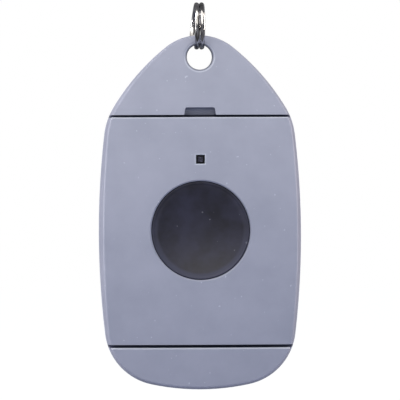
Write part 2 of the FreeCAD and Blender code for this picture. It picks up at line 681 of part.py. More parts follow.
def retainer_screws():
    """The screws of the clamping ring go towards the front, so they are made facing back and turned round."""
    screws = []
    for x, z in CLAMP_SCREW_PLACES:
        made = screw(x, z, CLAMP_BACK_Y, CLAMP_SCREW_DIAMETER, CLAMP_SCREW_HEAD, CLAMP_SCREW_HEAD_HEIGHT,
                     CLAMP_SCREW_LENGTH)
        made.rotate(point(x, CLAMP_BACK_Y, z), point(1, 0, 0), 180)
        screws.append(made)
    return group(screws)



def front_cover():
    """The middle plate: a shallow lid with the button's opening and boss, the window and four pegs."""
    lid = rounded_front().common(slab(COVER_BOTTOM_Z, COVER_TOP_Z, -FAR, SKIRT_Y))
    top_edge = edges_near(lid, lambda p: p.z > COVER_TOP_Z - 1e-3 and p.y < SKIRT_Y - 1e-3)
    lid = lid.makeChamfer(COVER_TOP_BEVEL, [max(top_edge, key=lambda edge: edge.Length)])
    hollow = front_half(WALL).common(slab(COVER_BOTTOM_Z + WALL, COVER_TOP_Z - WALL))
    lid = lid.cut(hollow)
    core = front_half(WALL / 2)
    boss = disc(2 * BOSS_RADIUS, -FAR, BOSS_END_Y, 0, BUTTON_Z).common(core)
    pegs = [disc(PEG_DIAMETER, -FAR, -PEG_END_RISE, x, z).common(core) for x, z in PEG_PLACES]
    lid = fuse([lid, boss] + pegs)
    lid = lid.cut([disc(OPENING_DIAMETER, -FAR, 0, 0, BUTTON_Z),
                   disc(2 * BOSS_BORE_RADIUS, SLEEVE_END_Y, 0, 0, BUTTON_Z),
                   square_bar(WINDOW_SIZE, -FAR, SKIRT_Y, WINDOW_Z)])
    lid = bored(lid, CLAMP_SCREW_DIAMETER + THREAD_FIT, CLAMP_BACK_Y - CLAMP_SCREW_LENGTH - SCREW_CLEARANCE, 0,
                CLAMP_SCREW_PLACES)

    def on_opening(p):
        return abs(math.hypot(p.x, p.z - BUTTON_Z) - OPENING_DIAMETER / 2) < 1e-3 and p.y < SLEEVE_END_Y - 0.5

    def on_window(p):
        reach = max(abs(p.x), abs(p.z - WINDOW_Z))
        return abs(reach - WINDOW_SIZE / 2) < 1e-3 and p.y < face_y(0, WINDOW_Z) + WALL / 2

    lid = lid.makeChamfer(OPENING_BEVEL, edges_near(lid, on_opening))
    window_rim = [edge for edge in edges_near(lid, on_window) if edge.BoundBox.YLength < 0.2]
    return lid.makeChamfer(WINDOW_BEVEL, window_rim)


def dish(extra):
    """The ball that hollows the finger dish, made larger by an extra radius."""
    rim_radius = CAP_RADIUS - CAP_RIM_WIDTH
    radius = (rim_radius ** 2 + CAP_DISH_DEPTH ** 2) / (2 * CAP_DISH_DEPTH)
    centre_y = CAP_RIM_Y - radius + CAP_DISH_DEPTH
    return Part.makeSphere(radius + extra, point(0, centre_y, BUTTON_Z))


def button_cap():
    """A cup with a dished face, a flange that stops it under the cover and a plunger in its middle."""
    rim = disc(2 * CAP_RADIUS, CAP_RIM_Y, CAP_BACK_Y, 0, BUTTON_Z)
    flange = disc(2 * FLANGE_RADIUS, FLANGE_FRONT_Y, CAP_BACK_Y, 0, BUTTON_Z)
    cup = fuse([rim, flange]).cut(dish(0.0))
    edge = edges_near(cup, lambda p: p.y < CAP_RIM_Y + 1e-3
                      and math.hypot(p.x, p.z - BUTTON_Z) > CAP_RADIUS - 1e-3)
    cup = cup.makeFillet(CAP_EDGE_RADIUS, edge)
    inside = disc(2 * (CAP_RADIUS - CAP_SKIRT_WALL), CAP_RIM_Y, CAP_BACK_Y + 1, 0, BUTTON_Z).cut(dish(CAP_WALL))
    plunger = disc(PLUNGER_DIAMETER, CAP_RIM_Y + CAP_DISH_DEPTH + CAP_WALL / 2, BOSS_END_Y - PLUNGER_GAP, 0,
                   BUTTON_Z)
    return fuse([cup.cut(inside), plunger])


def button_seal():
    """A flat diaphragm clamped at its rim."""
    sheet = disc(2 * BOSS_RADIUS, BOSS_END_Y, CLAMP_FRONT_Y, 0, BUTTON_Z)
    return bored(sheet, CLAMP_SCREW_DIAMETER + THREAD_FIT, -FAR, FAR, CLAMP_SCREW_PLACES)


def button_retainer():
    """The ring that clamps the diaphragm against the boss."""
    ring = disc(2 * BOSS_RADIUS, CLAMP_FRONT_Y, CLAMP_BACK_Y, 0, BUTTON_Z)
    ring = ring.cut(disc(2 * (BOSS_BORE_RADIUS - CLAMP_LIP), -FAR, FAR, 0, BUTTON_Z))
    return bored(ring, CLAMP_SCREW_DIAMETER + THREAD_FIT, -FAR, FAR, CLAMP_SCREW_PLACES)


def square_bar(size, y_front, y_back, z):
    return block(-size / 2, size / 2, y_front, y_back, z - size / 2, z + size / 2)


def light_pipe():
    """A smoked bar that carries the light from the board to the window, with a flange under the cover."""
    tip_y = face_y(0, WINDOW_Z) + PIPE_TIP_SINK
    step_y = tip_y + PIPE_STEP
    flange_y = face_y(PIPE_FLANGE_SIZE / 2, WINDOW_Z + PIPE_FLANGE_SIZE / 2) + WALL + STOP_GAP
    return fuse([square_bar(PIPE_TIP_SIZE, tip_y, step_y, WINDOW_Z),
                 square_bar(PIPE_SIZE, step_y, LED_TOP_Y - PIPE_LED_GAP, WINDOW_Z),
                 square_bar(PIPE_FLANGE_SIZE, flange_y, flange_y + PIPE_FLANGE_THICKNESS, WINDOW_Z)])


def circuit_board():
    """The board follows the inside of the rear shell and is notched round the case screws."""
    board = outline_prism(BOARD_INSET, BOARD_FRONT_Y, BOARD_BACK_Y)
    board = board.common(slab(BOARD_BOTTOM_Z, BOARD_TOP_Z))
    board = bored(board, CASE_BOSS_DIAMETER + 2 * NOTCH_GAP, -FAR, FAR, CASE_SCREW_PLACES)
    return bored(board, BOARD_SCREW_DIAMETER + 2 * SCREW_CLEARANCE, -FAR, FAR, BOARD_POST_PLACES)


def on_board(size, place):
    """A box of (width, height, thickness) standing on the board at a place."""
    width, tall, thick = size
    x, z = place[0], BOARD_TOP_Z - place[1]
    return block(x - width / 2, x + width / 2, BOARD_FRONT_Y - thick, BOARD_FRONT_Y, z - tall / 2, z + tall / 2)


def lidded(size, place):
    """A box on the board with its front edges bevelled."""
    solid = on_board(size, place)
    front = edges_near(solid, lambda p: p.y < BOARD_FRONT_Y - size[2] + 1e-4)
    return solid.makeChamfer(LID_EDGE, front)


def indicator_led():
    place = (0, BOARD_TOP_Z - WINDOW_Z)
    lens = Part.makeSphere(LED_LENS_DIAMETER / 2, point(0, BOARD_FRONT_Y - LED_SIZE[2], WINDOW_Z))
    return fuse([on_board(LED_SIZE, place), lens.common(slab(-FAR, FAR, -FAR, BOARD_FRONT_Y - LED_SIZE[2] / 2))])


def microcontroller_chip():
    """A flat pack with a row of bent leads down each side."""
    width, tall, thick = CHIP_SIZE
    x, z = CHIP_PLACE[0], BOARD_TOP_Z - CHIP_PLACE[1]
    body = lidded((width, tall, thick), CHIP_PLACE)
    leads = []
    for side in (-1, 1):
        for number in range(CHIP_LEADS):
            lead_z = z + (number - (CHIP_LEADS - 1) / 2) * CHIP_LEAD_PITCH
            near, far = x + side * (width / 2 - LID_EDGE), x + side * (width / 2 + CHIP_LEAD_REACH)
            bend = x + side * (width / 2 + CHIP_LEAD_REACH / 2)
            low_z, high_z = lead_z - CHIP_LEAD_WIDTH / 2, lead_z + CHIP_LEAD_WIDTH / 2
            middle_y = BOARD_FRONT_Y - thick / 2
            shelf = block(min(near, bend), max(near, bend), middle_y - CHIP_LEAD_SHEET, middle_y, low_z, high_z)
            drop_x = bend - side * CHIP_LEAD_SHEET
            fall = block(min(drop_x, bend), max(drop_x, bend), middle_y - CHIP_LEAD_SHEET, BOARD_FRONT_Y, low_z,
                         high_z)
            foot = block(min(drop_x, far), max(drop_x, far), BOARD_FRONT_Y - CHIP_LEAD_SHEET, BOARD_FRONT_Y,
                         low_z, high_z)
            leads += [shelf, fall, foot]
    return fuse([body] + leads)


def transmitter_chip():
    return lidded(RADIO_SIZE, RADIO_PLACE)


def quartz_crystal():
    return lidded(CRYSTAL_SIZE, CRYSTAL_PLACE)


def resonator_can():
    return lidded(RESONATOR_SIZE, RESONATOR_PLACE)


def trimmer_capacitor():
    """A square base with a slotted rotor."""
    x, z = TRIMMER_PLACE[0], BOARD_TOP_Z - TRIMMER_PLACE[1]
    top_y = BOARD_FRONT_Y - TRIMMER_SIZE[2]
    rotor = disc(TRIMMER_ROTOR_DIAMETER, top_y - TRIMMER_ROTOR_HEIGHT, top_y, x, z)
    slot = block(x - TRIMMER_ROTOR_DIAMETER / 2, x + TRIMMER_ROTOR_DIAMETER / 2, top_y - TRIMMER_ROTOR_HEIGHT - 1,
                 top_y - TRIMMER_ROTOR_HEIGHT / 2, z - SCREW_SLOT_WIDTH / 2, z + SCREW_SLOT_WIDTH / 2)
    return fuse([on_board(TRIMMER_SIZE, TRIMMER_PLACE), rotor.cut(slot)])


def end_capped(size, place):
    """A chip part whose end caps stand a little proud of its middle."""
    width, tall, thick = size
    middle = on_board((width - END_CAP, tall * 0.92, thick * 0.92), place)
    ends = [on_board((END_CAP, tall, thick), (place[0] + side * (width - END_CAP) / 2, place[1]))
            for side in (-1, 1)]
    return fuse([middle] + ends)


def chip_capacitors():
    return group([end_capped(CAPACITOR_SIZE, place) for place in CAPACITOR_PLACES])


def chip_resistors():
    return group([end_capped(RESISTOR_SIZE, place) for place in RESISTOR_PLACES])


def loop_antenna():
    """A wire that stands up from the board, runs into the head, crosses and comes back."""
    foot_z, top_z = BOARD_TOP_Z - ANTENNA_BELOW_BOARD_TOP, height(ANTENNA_TOP_DROP)
    left = [(-ANTENNA_HALF_SPAN, BOARD_FRONT_Y, foot_z), (-ANTENNA_HALF_SPAN, ANTENNA_PLANE, foot_z),
            (-ANTENNA_TOP_HALF_SPAN, ANTENNA_PLANE, top_z)]
    right = [(-x, y, z) for x, y, z in reversed(left)]
    return bent_wire([point(*corner) for corner in left + right], ANTENNA_WIRE, ANTENNA_BEND_RADIUS)


def bent_wire(corners, diameter, radius):
    """A round wire along straight runs joined by arcs of one radius."""
    edges = []
    start = corners[0]
    for before, corner, after in zip(corners, corners[1:], corners[2:]):
        back = (before - corner).normalize()
        on = (after - corner).normalize()
        half = back.getAngle(on) / 2
        reach = radius / math.tan(half)
        inward = (back + on).normalize()
        middle = corner + inward * (radius / math.sin(half) - radius)
        edges.append(Part.LineSegment(start, corner + back * reach).toShape())
        edges.append(Part.Arc(corner + back * reach, middle, corner + on * reach).toShape())
        start = corner + on * reach
    edges.append(Part.LineSegment(start, corners[-1]).toShape())
    section = Part.Wire(Part.makeCircle(diameter / 2, corners[0], corners[1] - corners[0]))
    return Part.Wire(edges).makePipeShell([section], True, False)


def battery_cell():
    """A coin cell: the wide can with its rounded edge, and the smaller cap on the side of the board."""
    can = disc(CELL_DIAMETER, CELL_FRONT_Y, CELL_BACK_Y - CELL_CAN_EDGE, 0, CELL_Z)
    can = can.makeFillet(CELL_CAN_EDGE, edges_near(can, lambda p: p.y < CELL_FRONT_Y + 1e-4))
    lid = disc(CELL_DIAMETER - 2 * CELL_LIP, CELL_BACK_Y - CELL_CAN_EDGE, CELL_BACK_Y, 0, CELL_Z)
    return fuse([can, lid])


def battery_holder():
    """A tray with a round wall, open towards the switch so that the cell can be pushed out."""
    inner = CELL_DIAMETER + 2 * HOLDER_CLEARANCE
    tray = disc(inner + 2 * HOLDER_WALL, BOARD_FRONT_Y - HOLDER_HEIGHT, BOARD_FRONT_Y, 0, CELL_Z)
    tray = tray.cut(disc(inner, -FAR, CELL_BACK_Y, 0, CELL_Z))
    mouth = block(-HOLDER_MOUTH / 2, HOLDER_MOUTH / 2, -FAR, CELL_BACK_Y, CELL_Z, CELL_Z + FAR)
    leaf_slot = block(-LEAF_WIDTH / 2 - NOTCH_GAP, LEAF_WIDTH / 2 + NOTCH_GAP, CELL_BACK_Y - 1, FAR,
                      CELL_Z - LEAF_LENGTH / 2 - NOTCH_GAP, CELL_Z + LEAF_LENGTH / 2 + NOTCH_GAP)
    clip_z = CELL_Z - CONTACT_DROP
    clip_slot = block(CELL_DIAMETER / 2 - CONTACT_REACH, FAR, -FAR, FAR, clip_z - CONTACT_WIDTH / 2 - NOTCH_GAP,
                      clip_z + CONTACT_WIDTH / 2 + NOTCH_GAP)
    clip_slot = clip_slot.cut(disc(inner, CELL_BACK_Y, FAR, 0, CELL_Z))
    beside_switch = slab(BUTTON_Z - SWITCH_SIZE / 2 - NOTCH_GAP, FAR)
    return tray.cut([mouth, leaf_slot, clip_slot, beside_switch])


def battery_contact_positive():
    """A strip that rises from the board beside the cell and springs over its front."""
    z_low = CELL_Z - CONTACT_DROP - CONTACT_WIDTH / 2
    z_high = z_low + CONTACT_WIDTH
    post_x = CELL_DIAMETER / 2 + HOLDER_CLEARANCE
    front_y = CELL_FRONT_Y - CONTACT_SHEET
    post = block(post_x, post_x + CONTACT_SHEET, front_y, BOARD_FRONT_Y, z_low, z_high)
    arm = block(post_x - CONTACT_REACH, post_x + CONTACT_SHEET, front_y, CELL_FRONT_Y, z_low, z_high)
    foot = block(post_x, post_x + CONTACT_REACH / 2, BOARD_FRONT_Y - CONTACT_SHEET, BOARD_FRONT_Y, z_low, z_high)
    return fuse([post, arm, foot])


def battery_contact_negative():
    """A leaf on the board that is bent up against the cap of the cell."""
    low, high = CELL_Z - LEAF_LENGTH / 2, CELL_Z + LEAF_LENGTH / 2
    thick = HOLDER_BASE / 2
    rest = block(-LEAF_WIDTH / 2, LEAF_WIDTH / 2, BOARD_FRONT_Y - thick, BOARD_FRONT_Y, low, high)
    raised = block(-LEAF_WIDTH / 2, LEAF_WIDTH / 2, CELL_BACK_Y, BOARD_FRONT_Y - thick, CELL_Z, high)
    return fuse([rest, raised])


PLATE_BACK_Y = BOARD_FRONT_Y - SWITCH_BASE_HEIGHT
PLATE_FRONT_Y = PLATE_BACK_Y - SWITCH_PLATE
POCKET_FLOOR_Y = BOARD_FRONT_Y - SWITCH_FLOOR
DOME_TOP_Y = POCKET_FLOOR_Y - DOME_HEIGHT


def switch_housing():
    """The base of the switch, with the pocket that holds its dome and collar."""
    base = square_bar(SWITCH_SIZE, PLATE_BACK_Y, BOARD_FRONT_Y, BUTTON_Z)
    return base.cut(disc(SWITCH_POCKET_DIAMETER, PLATE_BACK_Y, POCKET_FLOOR_Y, 0, BUTTON_Z))


def switch_plate():
    """The steel plate on the base, with the hole that guides the stem."""
    plate = rounded_block(SWITCH_SIZE, SWITCH_SIZE, PLATE_FRONT_Y, PLATE_BACK_Y, 0, BUTTON_Z, SWITCH_PLATE)
    return plate.cut(disc(STEM_DIAMETER + 2 * STEM_CLEARANCE, -FAR, FAR, 0, BUTTON_Z))


def switch_stem():
    """The stem that the diaphragm presses, kept in by its collar."""
    end_y = DOME_TOP_Y - STEM_TOP_GAP
    shaft = disc(STEM_DIAMETER, STEM_TOP_Y, end_y, 0, BUTTON_Z)
    collar = disc(STEM_COLLAR_DIAMETER, PLATE_BACK_Y + STOP_GAP, end_y - BUTTON_TRAVEL, 0, BUTTON_Z)
    return fuse([shaft, collar])


def switch_dome():
    """The domed spring leaf in the floor of the pocket."""
    foot = DOME_DIAMETER / 2
    radius = (foot ** 2 + DOME_HEIGHT ** 2) / (2 * DOME_HEIGHT)
    centre = point(0, DOME_TOP_Y + radius, BUTTON_Z)
    shell = Part.makeSphere(radius, centre).cut(Part.makeSphere(radius - DOME_SHEET, centre))
    return shell.common(slab(-FAR * 2, FAR, -FAR, POCKET_FLOOR_Y))


def switch_terminals():
    """Four bent tabs at the sides of the base."""
    tabs = []
    for side in (-1, 1):
        for z in (BUTTON_Z - TERMINAL_SPACING / 2, BUTTON_Z + TERMINAL_SPACING / 2):
            near, far = side * SWITCH_SIZE / 2, side * (SWITCH_SIZE / 2 + TERMINAL_REACH)
            bend = side * (SWITCH_SIZE / 2 + TERMINAL_SHEET)
            low_z, high_z = z - TERMINAL_WIDTH / 2, z + TERMINAL_WIDTH / 2
            riser = block(min(near, bend), max(near, bend), BOARD_FRONT_Y - SWITCH_BASE_HEIGHT / 2, BOARD_FRONT_Y,
                          low_z, high_z)
            foot = block(min(near, far), max(near, far), BOARD_FRONT_Y - TERMINAL_SHEET, BOARD_FRONT_Y, low_z,
                         high_z)
            tabs.append(fuse([riser, foot]))
    return group(tabs)


PIECES = (
    split_ring, front_frame, front_cover, cover_seal, button_cap, button_seal, button_retainer, retainer_screws,
    light_pipe, rear_shell, rear_label, case_screws, circuit_board, board_screws, indicator_led,
    microcontroller_chip, transmitter_chip, quartz_crystal, resonator_can, trimmer_capacitor, chip_capacitors,
    chip_resistors, loop_antenna, battery_cell, battery_holder, battery_contact_positive,
    battery_contact_negative, switch_housing, switch_plate, switch_dome, switch_stem, switch_terminals,
)

os.makedirs("parts", exist_ok=True)
for piece in PIECES:
    shape = piece()
    shape.exportStep("parts/" + piece.__name__ + ".step")
    print(piece.__name__, "solids", len(shape.Solids), "volume", round(shape.Volume, 2), "valid", shape.isValid())
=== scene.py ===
import math

import bpy
from mathutils import Matrix, Vector


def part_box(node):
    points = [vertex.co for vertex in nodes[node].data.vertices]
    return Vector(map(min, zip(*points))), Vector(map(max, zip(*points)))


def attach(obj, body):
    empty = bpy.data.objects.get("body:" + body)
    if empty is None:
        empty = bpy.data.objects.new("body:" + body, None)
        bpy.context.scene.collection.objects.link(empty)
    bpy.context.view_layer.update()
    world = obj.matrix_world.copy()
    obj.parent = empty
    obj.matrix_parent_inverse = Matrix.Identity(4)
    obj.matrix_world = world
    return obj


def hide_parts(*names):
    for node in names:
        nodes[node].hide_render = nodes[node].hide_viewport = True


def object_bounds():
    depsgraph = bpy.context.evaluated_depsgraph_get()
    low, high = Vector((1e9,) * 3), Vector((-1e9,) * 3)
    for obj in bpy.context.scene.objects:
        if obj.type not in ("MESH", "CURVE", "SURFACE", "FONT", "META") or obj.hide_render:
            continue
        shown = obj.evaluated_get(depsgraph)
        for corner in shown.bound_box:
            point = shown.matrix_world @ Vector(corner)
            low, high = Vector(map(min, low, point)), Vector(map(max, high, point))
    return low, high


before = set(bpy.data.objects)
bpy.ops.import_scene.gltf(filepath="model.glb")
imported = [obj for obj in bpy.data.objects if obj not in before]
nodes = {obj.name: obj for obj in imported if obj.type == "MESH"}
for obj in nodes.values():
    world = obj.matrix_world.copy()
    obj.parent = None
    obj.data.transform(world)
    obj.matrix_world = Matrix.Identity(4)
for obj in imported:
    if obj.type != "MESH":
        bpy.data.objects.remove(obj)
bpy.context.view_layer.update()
bpy.ops.object.select_all(action="DESELECT")


# Front frame: the head, the side rails and the foot of the housing, one injection moulding in bluish grey
# ABS with the fine satin texture of its mould. Four screws under the cover hold it to the rear shell.

class Value:
    """One output in a node tree. Sums, products and comparisons of it add Math nodes to the tree."""

    def __init__(self, tree, socket):
        self.tree = tree
        self.socket = socket

    def maths(self, operation, *terms):
        """A Math node that works on these terms, each a number or an output."""
        node = self.tree.nodes.new("ShaderNodeMath")
        node.operation = operation
        for socket, term in zip(node.inputs, terms):
            if isinstance(term, Value):
                self.tree.links.new(term.socket, socket)
            else:
                socket.default_value = term
        return Value(self.tree, node.outputs[0])

    def __add__(self, other):
        return self.maths("ADD", self, other)

    def __radd__(self, other):
        return self.maths("ADD", other, self)

    def __sub__(self, other):
        return self.maths("SUBTRACT", self, other)

    def __rsub__(self, other):
        return self.maths("SUBTRACT", other, self)

    def __mul__(self, other):
        return self.maths("MULTIPLY", self, other)

    def __rmul__(self, other):
        return self.maths("MULTIPLY", other, self)

    def __gt__(self, other):
        return self.maths("GREATER_THAN", self, other)

    def __lt__(self, other):
        return self.maths("LESS_THAN", self, other)

    def __abs__(self):
        return self.maths("ABSOLUTE", self)

    def smaller(self, other):
        return self.maths("MINIMUM", self, other)

    def larger(self, other):
        return self.maths("MAXIMUM", self, other)

    def folded(self, height):
        """The value run up and down between zero and this height, for a pattern that repeats."""
        return self.maths("PINGPONG", self, height)

    def inside(self, low, high):
        """1 where the value lies between these two, and 0 elsewhere."""
        return (self > low) * (self < high)


class Finish:
    """A material, or the light of a room, that is built up one node at a time."""

    def __init__(self, name, store=bpy.data.materials):
        self.owner = store.new(name)
        self.owner.use_nodes = True
        self.tree = self.owner.node_tree
        self.tree.nodes.clear()

    def add(self, kind, settings=None, sockets=None, output=0):
        """Adds a node, sets it up, fills or links its sockets and returns one of its outputs."""
        node = self.tree.nodes.new("ShaderNode" + kind)
        for name, value in (settings or {}).items():
            setattr(node, name, value)
        for name, value in (sockets or {}).items():
            if isinstance(value, Value):
                self.tree.links.new(value.socket, node.inputs[name])
            else:
                node.inputs[name].default_value = value
        return Value(self.tree, node.outputs[output]) if node.outputs else None

    def place(self):
        """Where a point lies on the piece, in metres."""
        return self.add("TexCoord", output="Object")

    def axes(self, place):
        """The x, y and z of a place."""
        x = self.add("SeparateXYZ", {}, {"Vector": place})
        return [Value(self.tree, socket) for socket in x.socket.node.outputs]

    def stretched(self, place, scale):
        """The place with each axis scaled, so that a pattern on it is drawn out."""
        return self.add("Mapping", {}, {"Vector": place, "Scale": scale})

    def distance(self, place, point):
        """How far a place is from a point."""
        return self.add("VectorMath", {"operation": "DISTANCE"}, {0: place, 1: point}, output=1)

    def from_axis(self, place, height, across=0.0):
        """How far a place is from a line that runs front to back, at this height and this far across."""
        x, _, z = self.axes(place)
        flat = self.add("CombineXYZ", {}, {"X": x, "Z": z})
        return self.distance(flat, Vector((across, 0, height)))

    def noise(self, place, size, detail=3.0, roughness=0.6):
        """Smooth noise whose lumps are about this many metres across."""
        return self.add("TexNoise", {}, {"Vector": place, "Scale": 1 / size, "Detail": detail,
                                         "Roughness": roughness})

    def between(self, share, low, high):
        """A colour between two colours."""
        return self.add("Mix", {"data_type": "RGBA"}, {0: share, 6: low, 7: high}, output=2)

    def rise(self, value, low, high, most=1.0):
        """Nothing up to the low value, and growing from there to the most at the high one."""
        return self.add("MapRange", {}, {"Value": value, "From Min": low, "From Max": high, "To Max": most})

    def fade(self, value, low, high, most=1.0):
        """The most up to the low value, and shrinking from there to nothing at the high one."""
        return self.add("MapRange", {}, {"Value": value, "From Min": low, "From Max": high, "To Min": most,
                                         "To Max": 0.0})

    def bump(self, height, depth, strength):
        return self.add("Bump", {}, {"Height": height, "Distance": depth, "Strength": strength})

    def shade(self, **sockets):
        """The Principled shader of this finish, with sockets named in words joined by underscores."""
        named = {name.replace("_", " "): value for name, value in sockets.items()}
        shader = self.add("BsdfPrincipled", {}, named)
        self.add("OutputMaterial", {}, {"Surface": shader})
        return self.owner


def paint(red, green, blue):
    """A colour from its 0 to 255 screen values."""
    def linear(level):
        share = level / 255
        return share / 12.92 if share <= 0.04045 else ((share + 0.055) / 1.055) ** 2.4
    return (linear(red), linear(green), linear(blue), 1.0)


def coat(node, material):
    """Gives a CAD node this material all over."""
    slots = nodes[node].data.materials
    slots.clear()
    slots.append(material)


SPECK_SOFTNESS = 0.03


def dusted(finish, place, body, dust, size, level, share):
    """The body colour with specks of dust on it, up to this size, where smooth noise peaks above a level."""
    peaks = finish.noise(place, size, detail=0.0)
    return finish.between(finish.rise(peaks, level, level + SPECK_SOFTNESS, share), body, dust)


GREY_LOW = paint(154, 155, 173)
GREY_HIGH = paint(164, 164, 182)
DUST = paint(226, 228, 238)
# Colours of painted light: a highlight for lit bevels and rims, and shade for grooves, gaps and the lanyard
# hole.
EDGE_HIGHLIGHT_PAINT = paint(212, 214, 227)
GROOVE_AND_GAP_SHADE = paint(82, 83, 106)
HOLE_WALL_SHADE = paint(96, 98, 106)
TOP_GROOVE_WIDTH = 0.00043
BOTTOM_GROOVE_WIDTH = 0.00055
TOP_BEVEL = 0.00025
FOOT_BEVEL = 0.0003
SEAM_Y = 0.0
HOLE_Z = -0.00601
HOLE_RADIUS = 0.00243
# How far the painted shade reaches out from the wall of the lanyard hole.
HOLE_SHADE_WIDTH = 0.00014
HOLE_SHADE_END = 0.0003
HOLE_LIP = 0.00044
HOLE_LIP_CORE = 0.00006
HOLE_LIP_END = 0.00016
# A mask that follows a face of a solid keeps this far off it.
SKIN = 0.00001
cover_low, cover_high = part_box("front_cover")
ledge_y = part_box("cover_seal")[0].y
foot_top = cover_low.z - BOTTOM_GROOVE_WIDTH
grooves = ((cover_high.z - SKIN, cover_high.z + TOP_GROOVE_WIDTH + SKIN),
           (foot_top - SKIN, cover_low.z + SKIN))
bevels = ((cover_high.z - TOP_BEVEL, cover_high.z - SKIN),
          (foot_top - FOOT_BEVEL, foot_top - SKIN))


def satin_plastic(name, extra=None):
    """Textured ABS: fine mould grain, clouded tone and a few pale specks of dust. Painted shade darkens the
    walls of the two grooves and the lanyard hole, and painted highlights lighten the bevels under the grooves
    and the rounded lip of the hole. An extra function adds its marks."""
    finish = Finish(name)
    place = finish.place()
    _, y, z = finish.axes(place)
    from_hole = finish.from_axis(place, HOLE_Z) - HOLE_RADIUS
    grain = finish.noise(place, size=0.00016)
    cloud = finish.noise(place, size=0.009, detail=4.0)
    body = finish.between(finish.rise(cloud, 0.3, 0.7), GREY_LOW, GREY_HIGH)
    body = dusted(finish, place, body, DUST, size=0.0005, level=0.83, share=0.36)
    # Painted highlight: the bevels under the two grooves are lightened, as they catch the light from above.
    for bottom, top in bevels:
        body = finish.between(z.inside(bottom, top) * (y < ledge_y) * 0.5, body, EDGE_HIGHLIGHT_PAINT)
    # Painted shade: the walls of the two grooves are darkened, and in front of the joint the dark line runs
    # on down the flanks, where there is no groove.
    for bottom, top in grooves:
        body = finish.between(z.inside(bottom, top) * (y < SEAM_Y), body, GROOVE_AND_GAP_SHADE)
    # Painted highlight on the rounded lip of the lanyard hole.
    lip_highlight = finish.fade(abs(from_hole - HOLE_LIP), HOLE_LIP_CORE, HOLE_LIP_END, 0.4)
    body = finish.between(lip_highlight, body, EDGE_HIGHLIGHT_PAINT)
    # Painted shade on the wall of the lanyard hole.
    body = finish.between(finish.fade(from_hole, HOLE_SHADE_WIDTH, HOLE_SHADE_END, 0.6), body, HOLE_WALL_SHADE)
    if extra is not None:
        body = extra(finish, place, body)
    return finish.shade(Base_Color=body, Roughness=0.46 + (grain - 0.5) * 0.16 + cloud * 0.04, IOR=1.5,
                        Normal=finish.bump(grain, depth=0.000012, strength=0.5))


NOTCH_HEIGHT = 0.0015
NOTCH_TOP_HALF = 0.0028
NOTCH_FLARE = 0.00025
# Colour of the painted shade in the coin notch.
NOTCH_SHADE_PAINT = paint(86, 90, 111)
notch_bottom = cover_high.z + TOP_GROOVE_WIDTH
notch_top = notch_bottom + NOTCH_HEIGHT


def notch_painted_shade(finish, place, body):
    """Painted shade in the recess where a coin lifts the cover, darker towards its open lower side."""
    x, _, z = finish.axes(place)
    fall = finish.fade(z, notch_bottom, notch_top)
    inside = (abs(x) < NOTCH_TOP_HALF + SKIN + fall * NOTCH_FLARE) * z.inside(notch_bottom, notch_top + SKIN)
    return finish.between(inside * fall * 0.85, body, NOTCH_SHADE_PAINT)


coat("front_frame", satin_plastic("frame plastic", notch_painted_shade))


# Rear shell: the back half of the housing, moulded in the same plastic, with the screw bosses and the posts
# of the circuit board inside. The two halves meet in a flat joint round the edge.

coat("rear_shell", satin_plastic("rear shell plastic"))


# Label: a blank film of matt polyester, stuck in the recess of the back. Where a maker would print it, it
# has only a thin border.

BORDER_INSET = 0.0007
BORDER_WIDTH = 0.0002
label_low, label_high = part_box("rear_label")
label_middle = (label_low + label_high) / 2
label_half = (label_high - label_low) / 2
finish = Finish("label film")
place = finish.place()
x, _, z = finish.axes(place)
from_edge = (label_half.x - abs(x - label_middle.x)).smaller(label_half.z - abs(z - label_middle.z))
border = from_edge.inside(BORDER_INSET, BORDER_INSET + BORDER_WIDTH)
fibre = finish.noise(place, size=0.00012)
tone = finish.noise(place, size=0.004, detail=2.0, roughness=0.5)
film = finish.between(tone, paint(194, 195, 199), paint(212, 213, 216))
film = finish.between(border, film, paint(96, 98, 108))
coat("rear_label", finish.shade(Base_Color=film, Roughness=0.5 + fibre * 0.15,
                                Normal=finish.bump(fibre, depth=0.000006, strength=0.4)))


# Circuit board: glass-fibre laminate under green solder mask, with copper tracks and plated holes. It lies
# on the posts of the rear shell.

TRACK_PITCH = 0.0007
TRACK_WIDTH = 0.00025
TRACK_RUN_LENGTH = 0.0065
BARE_PATCH_WIDTH = 0.0042
HOLE_SPACING = 0.0031
PAD_SHARE = 0.085
DRILL_SHARE = 0.04
finish = Finish("board laminate")
place = finish.place()
x, _, z = finish.axes(place)
weave = finish.noise(place, size=0.0003, detail=2.0, roughness=0.5)
across = x.folded(TRACK_PITCH / 2) < TRACK_WIDTH / 2
down = z.folded(TRACK_PITCH / 2) < TRACK_WIDTH / 2
turned = finish.noise(place, TRACK_RUN_LENGTH, detail=0.0) > 0.5
routed = finish.noise(finish.stretched(place, (1.0, 1.0, 1.3)), BARE_PATCH_WIDTH, detail=0.0) > 0.47
tracks = (across * turned + down * (1 - turned)) * routed
flat_place = finish.add("CombineXYZ", {}, {"X": x, "Y": z})
holes = finish.add("TexVoronoi", {"voronoi_dimensions": "2D"},
                   {"Vector": flat_place, "Scale": 1 / HOLE_SPACING, "Randomness": 0.7})
plated = holes < PAD_SHARE
drilled = holes < DRILL_SHARE
laminate = finish.between(weave, paint(14, 82, 44), paint(22, 100, 56))
laminate = finish.between(tracks * 0.75, laminate, paint(52, 132, 78))
laminate = finish.between(plated, laminate, paint(196, 178, 120))
laminate = finish.between(drilled, laminate, paint(12, 14, 12))
relief = tracks + weave * 0.3 - drilled
coat("circuit_board", finish.shade(Base_Color=laminate, Roughness=0.30 + weave * 0.15,
                                   Metallic=plated - drilled,
                                   Normal=finish.bump(relief, depth=0.00002, strength=0.5)))


# Screws: slotted pan heads of zinc-plated steel. The small ones hold the board on its posts and the clamping
# ring in the cover, and the long ones at the corners pull the two halves of the housing together.

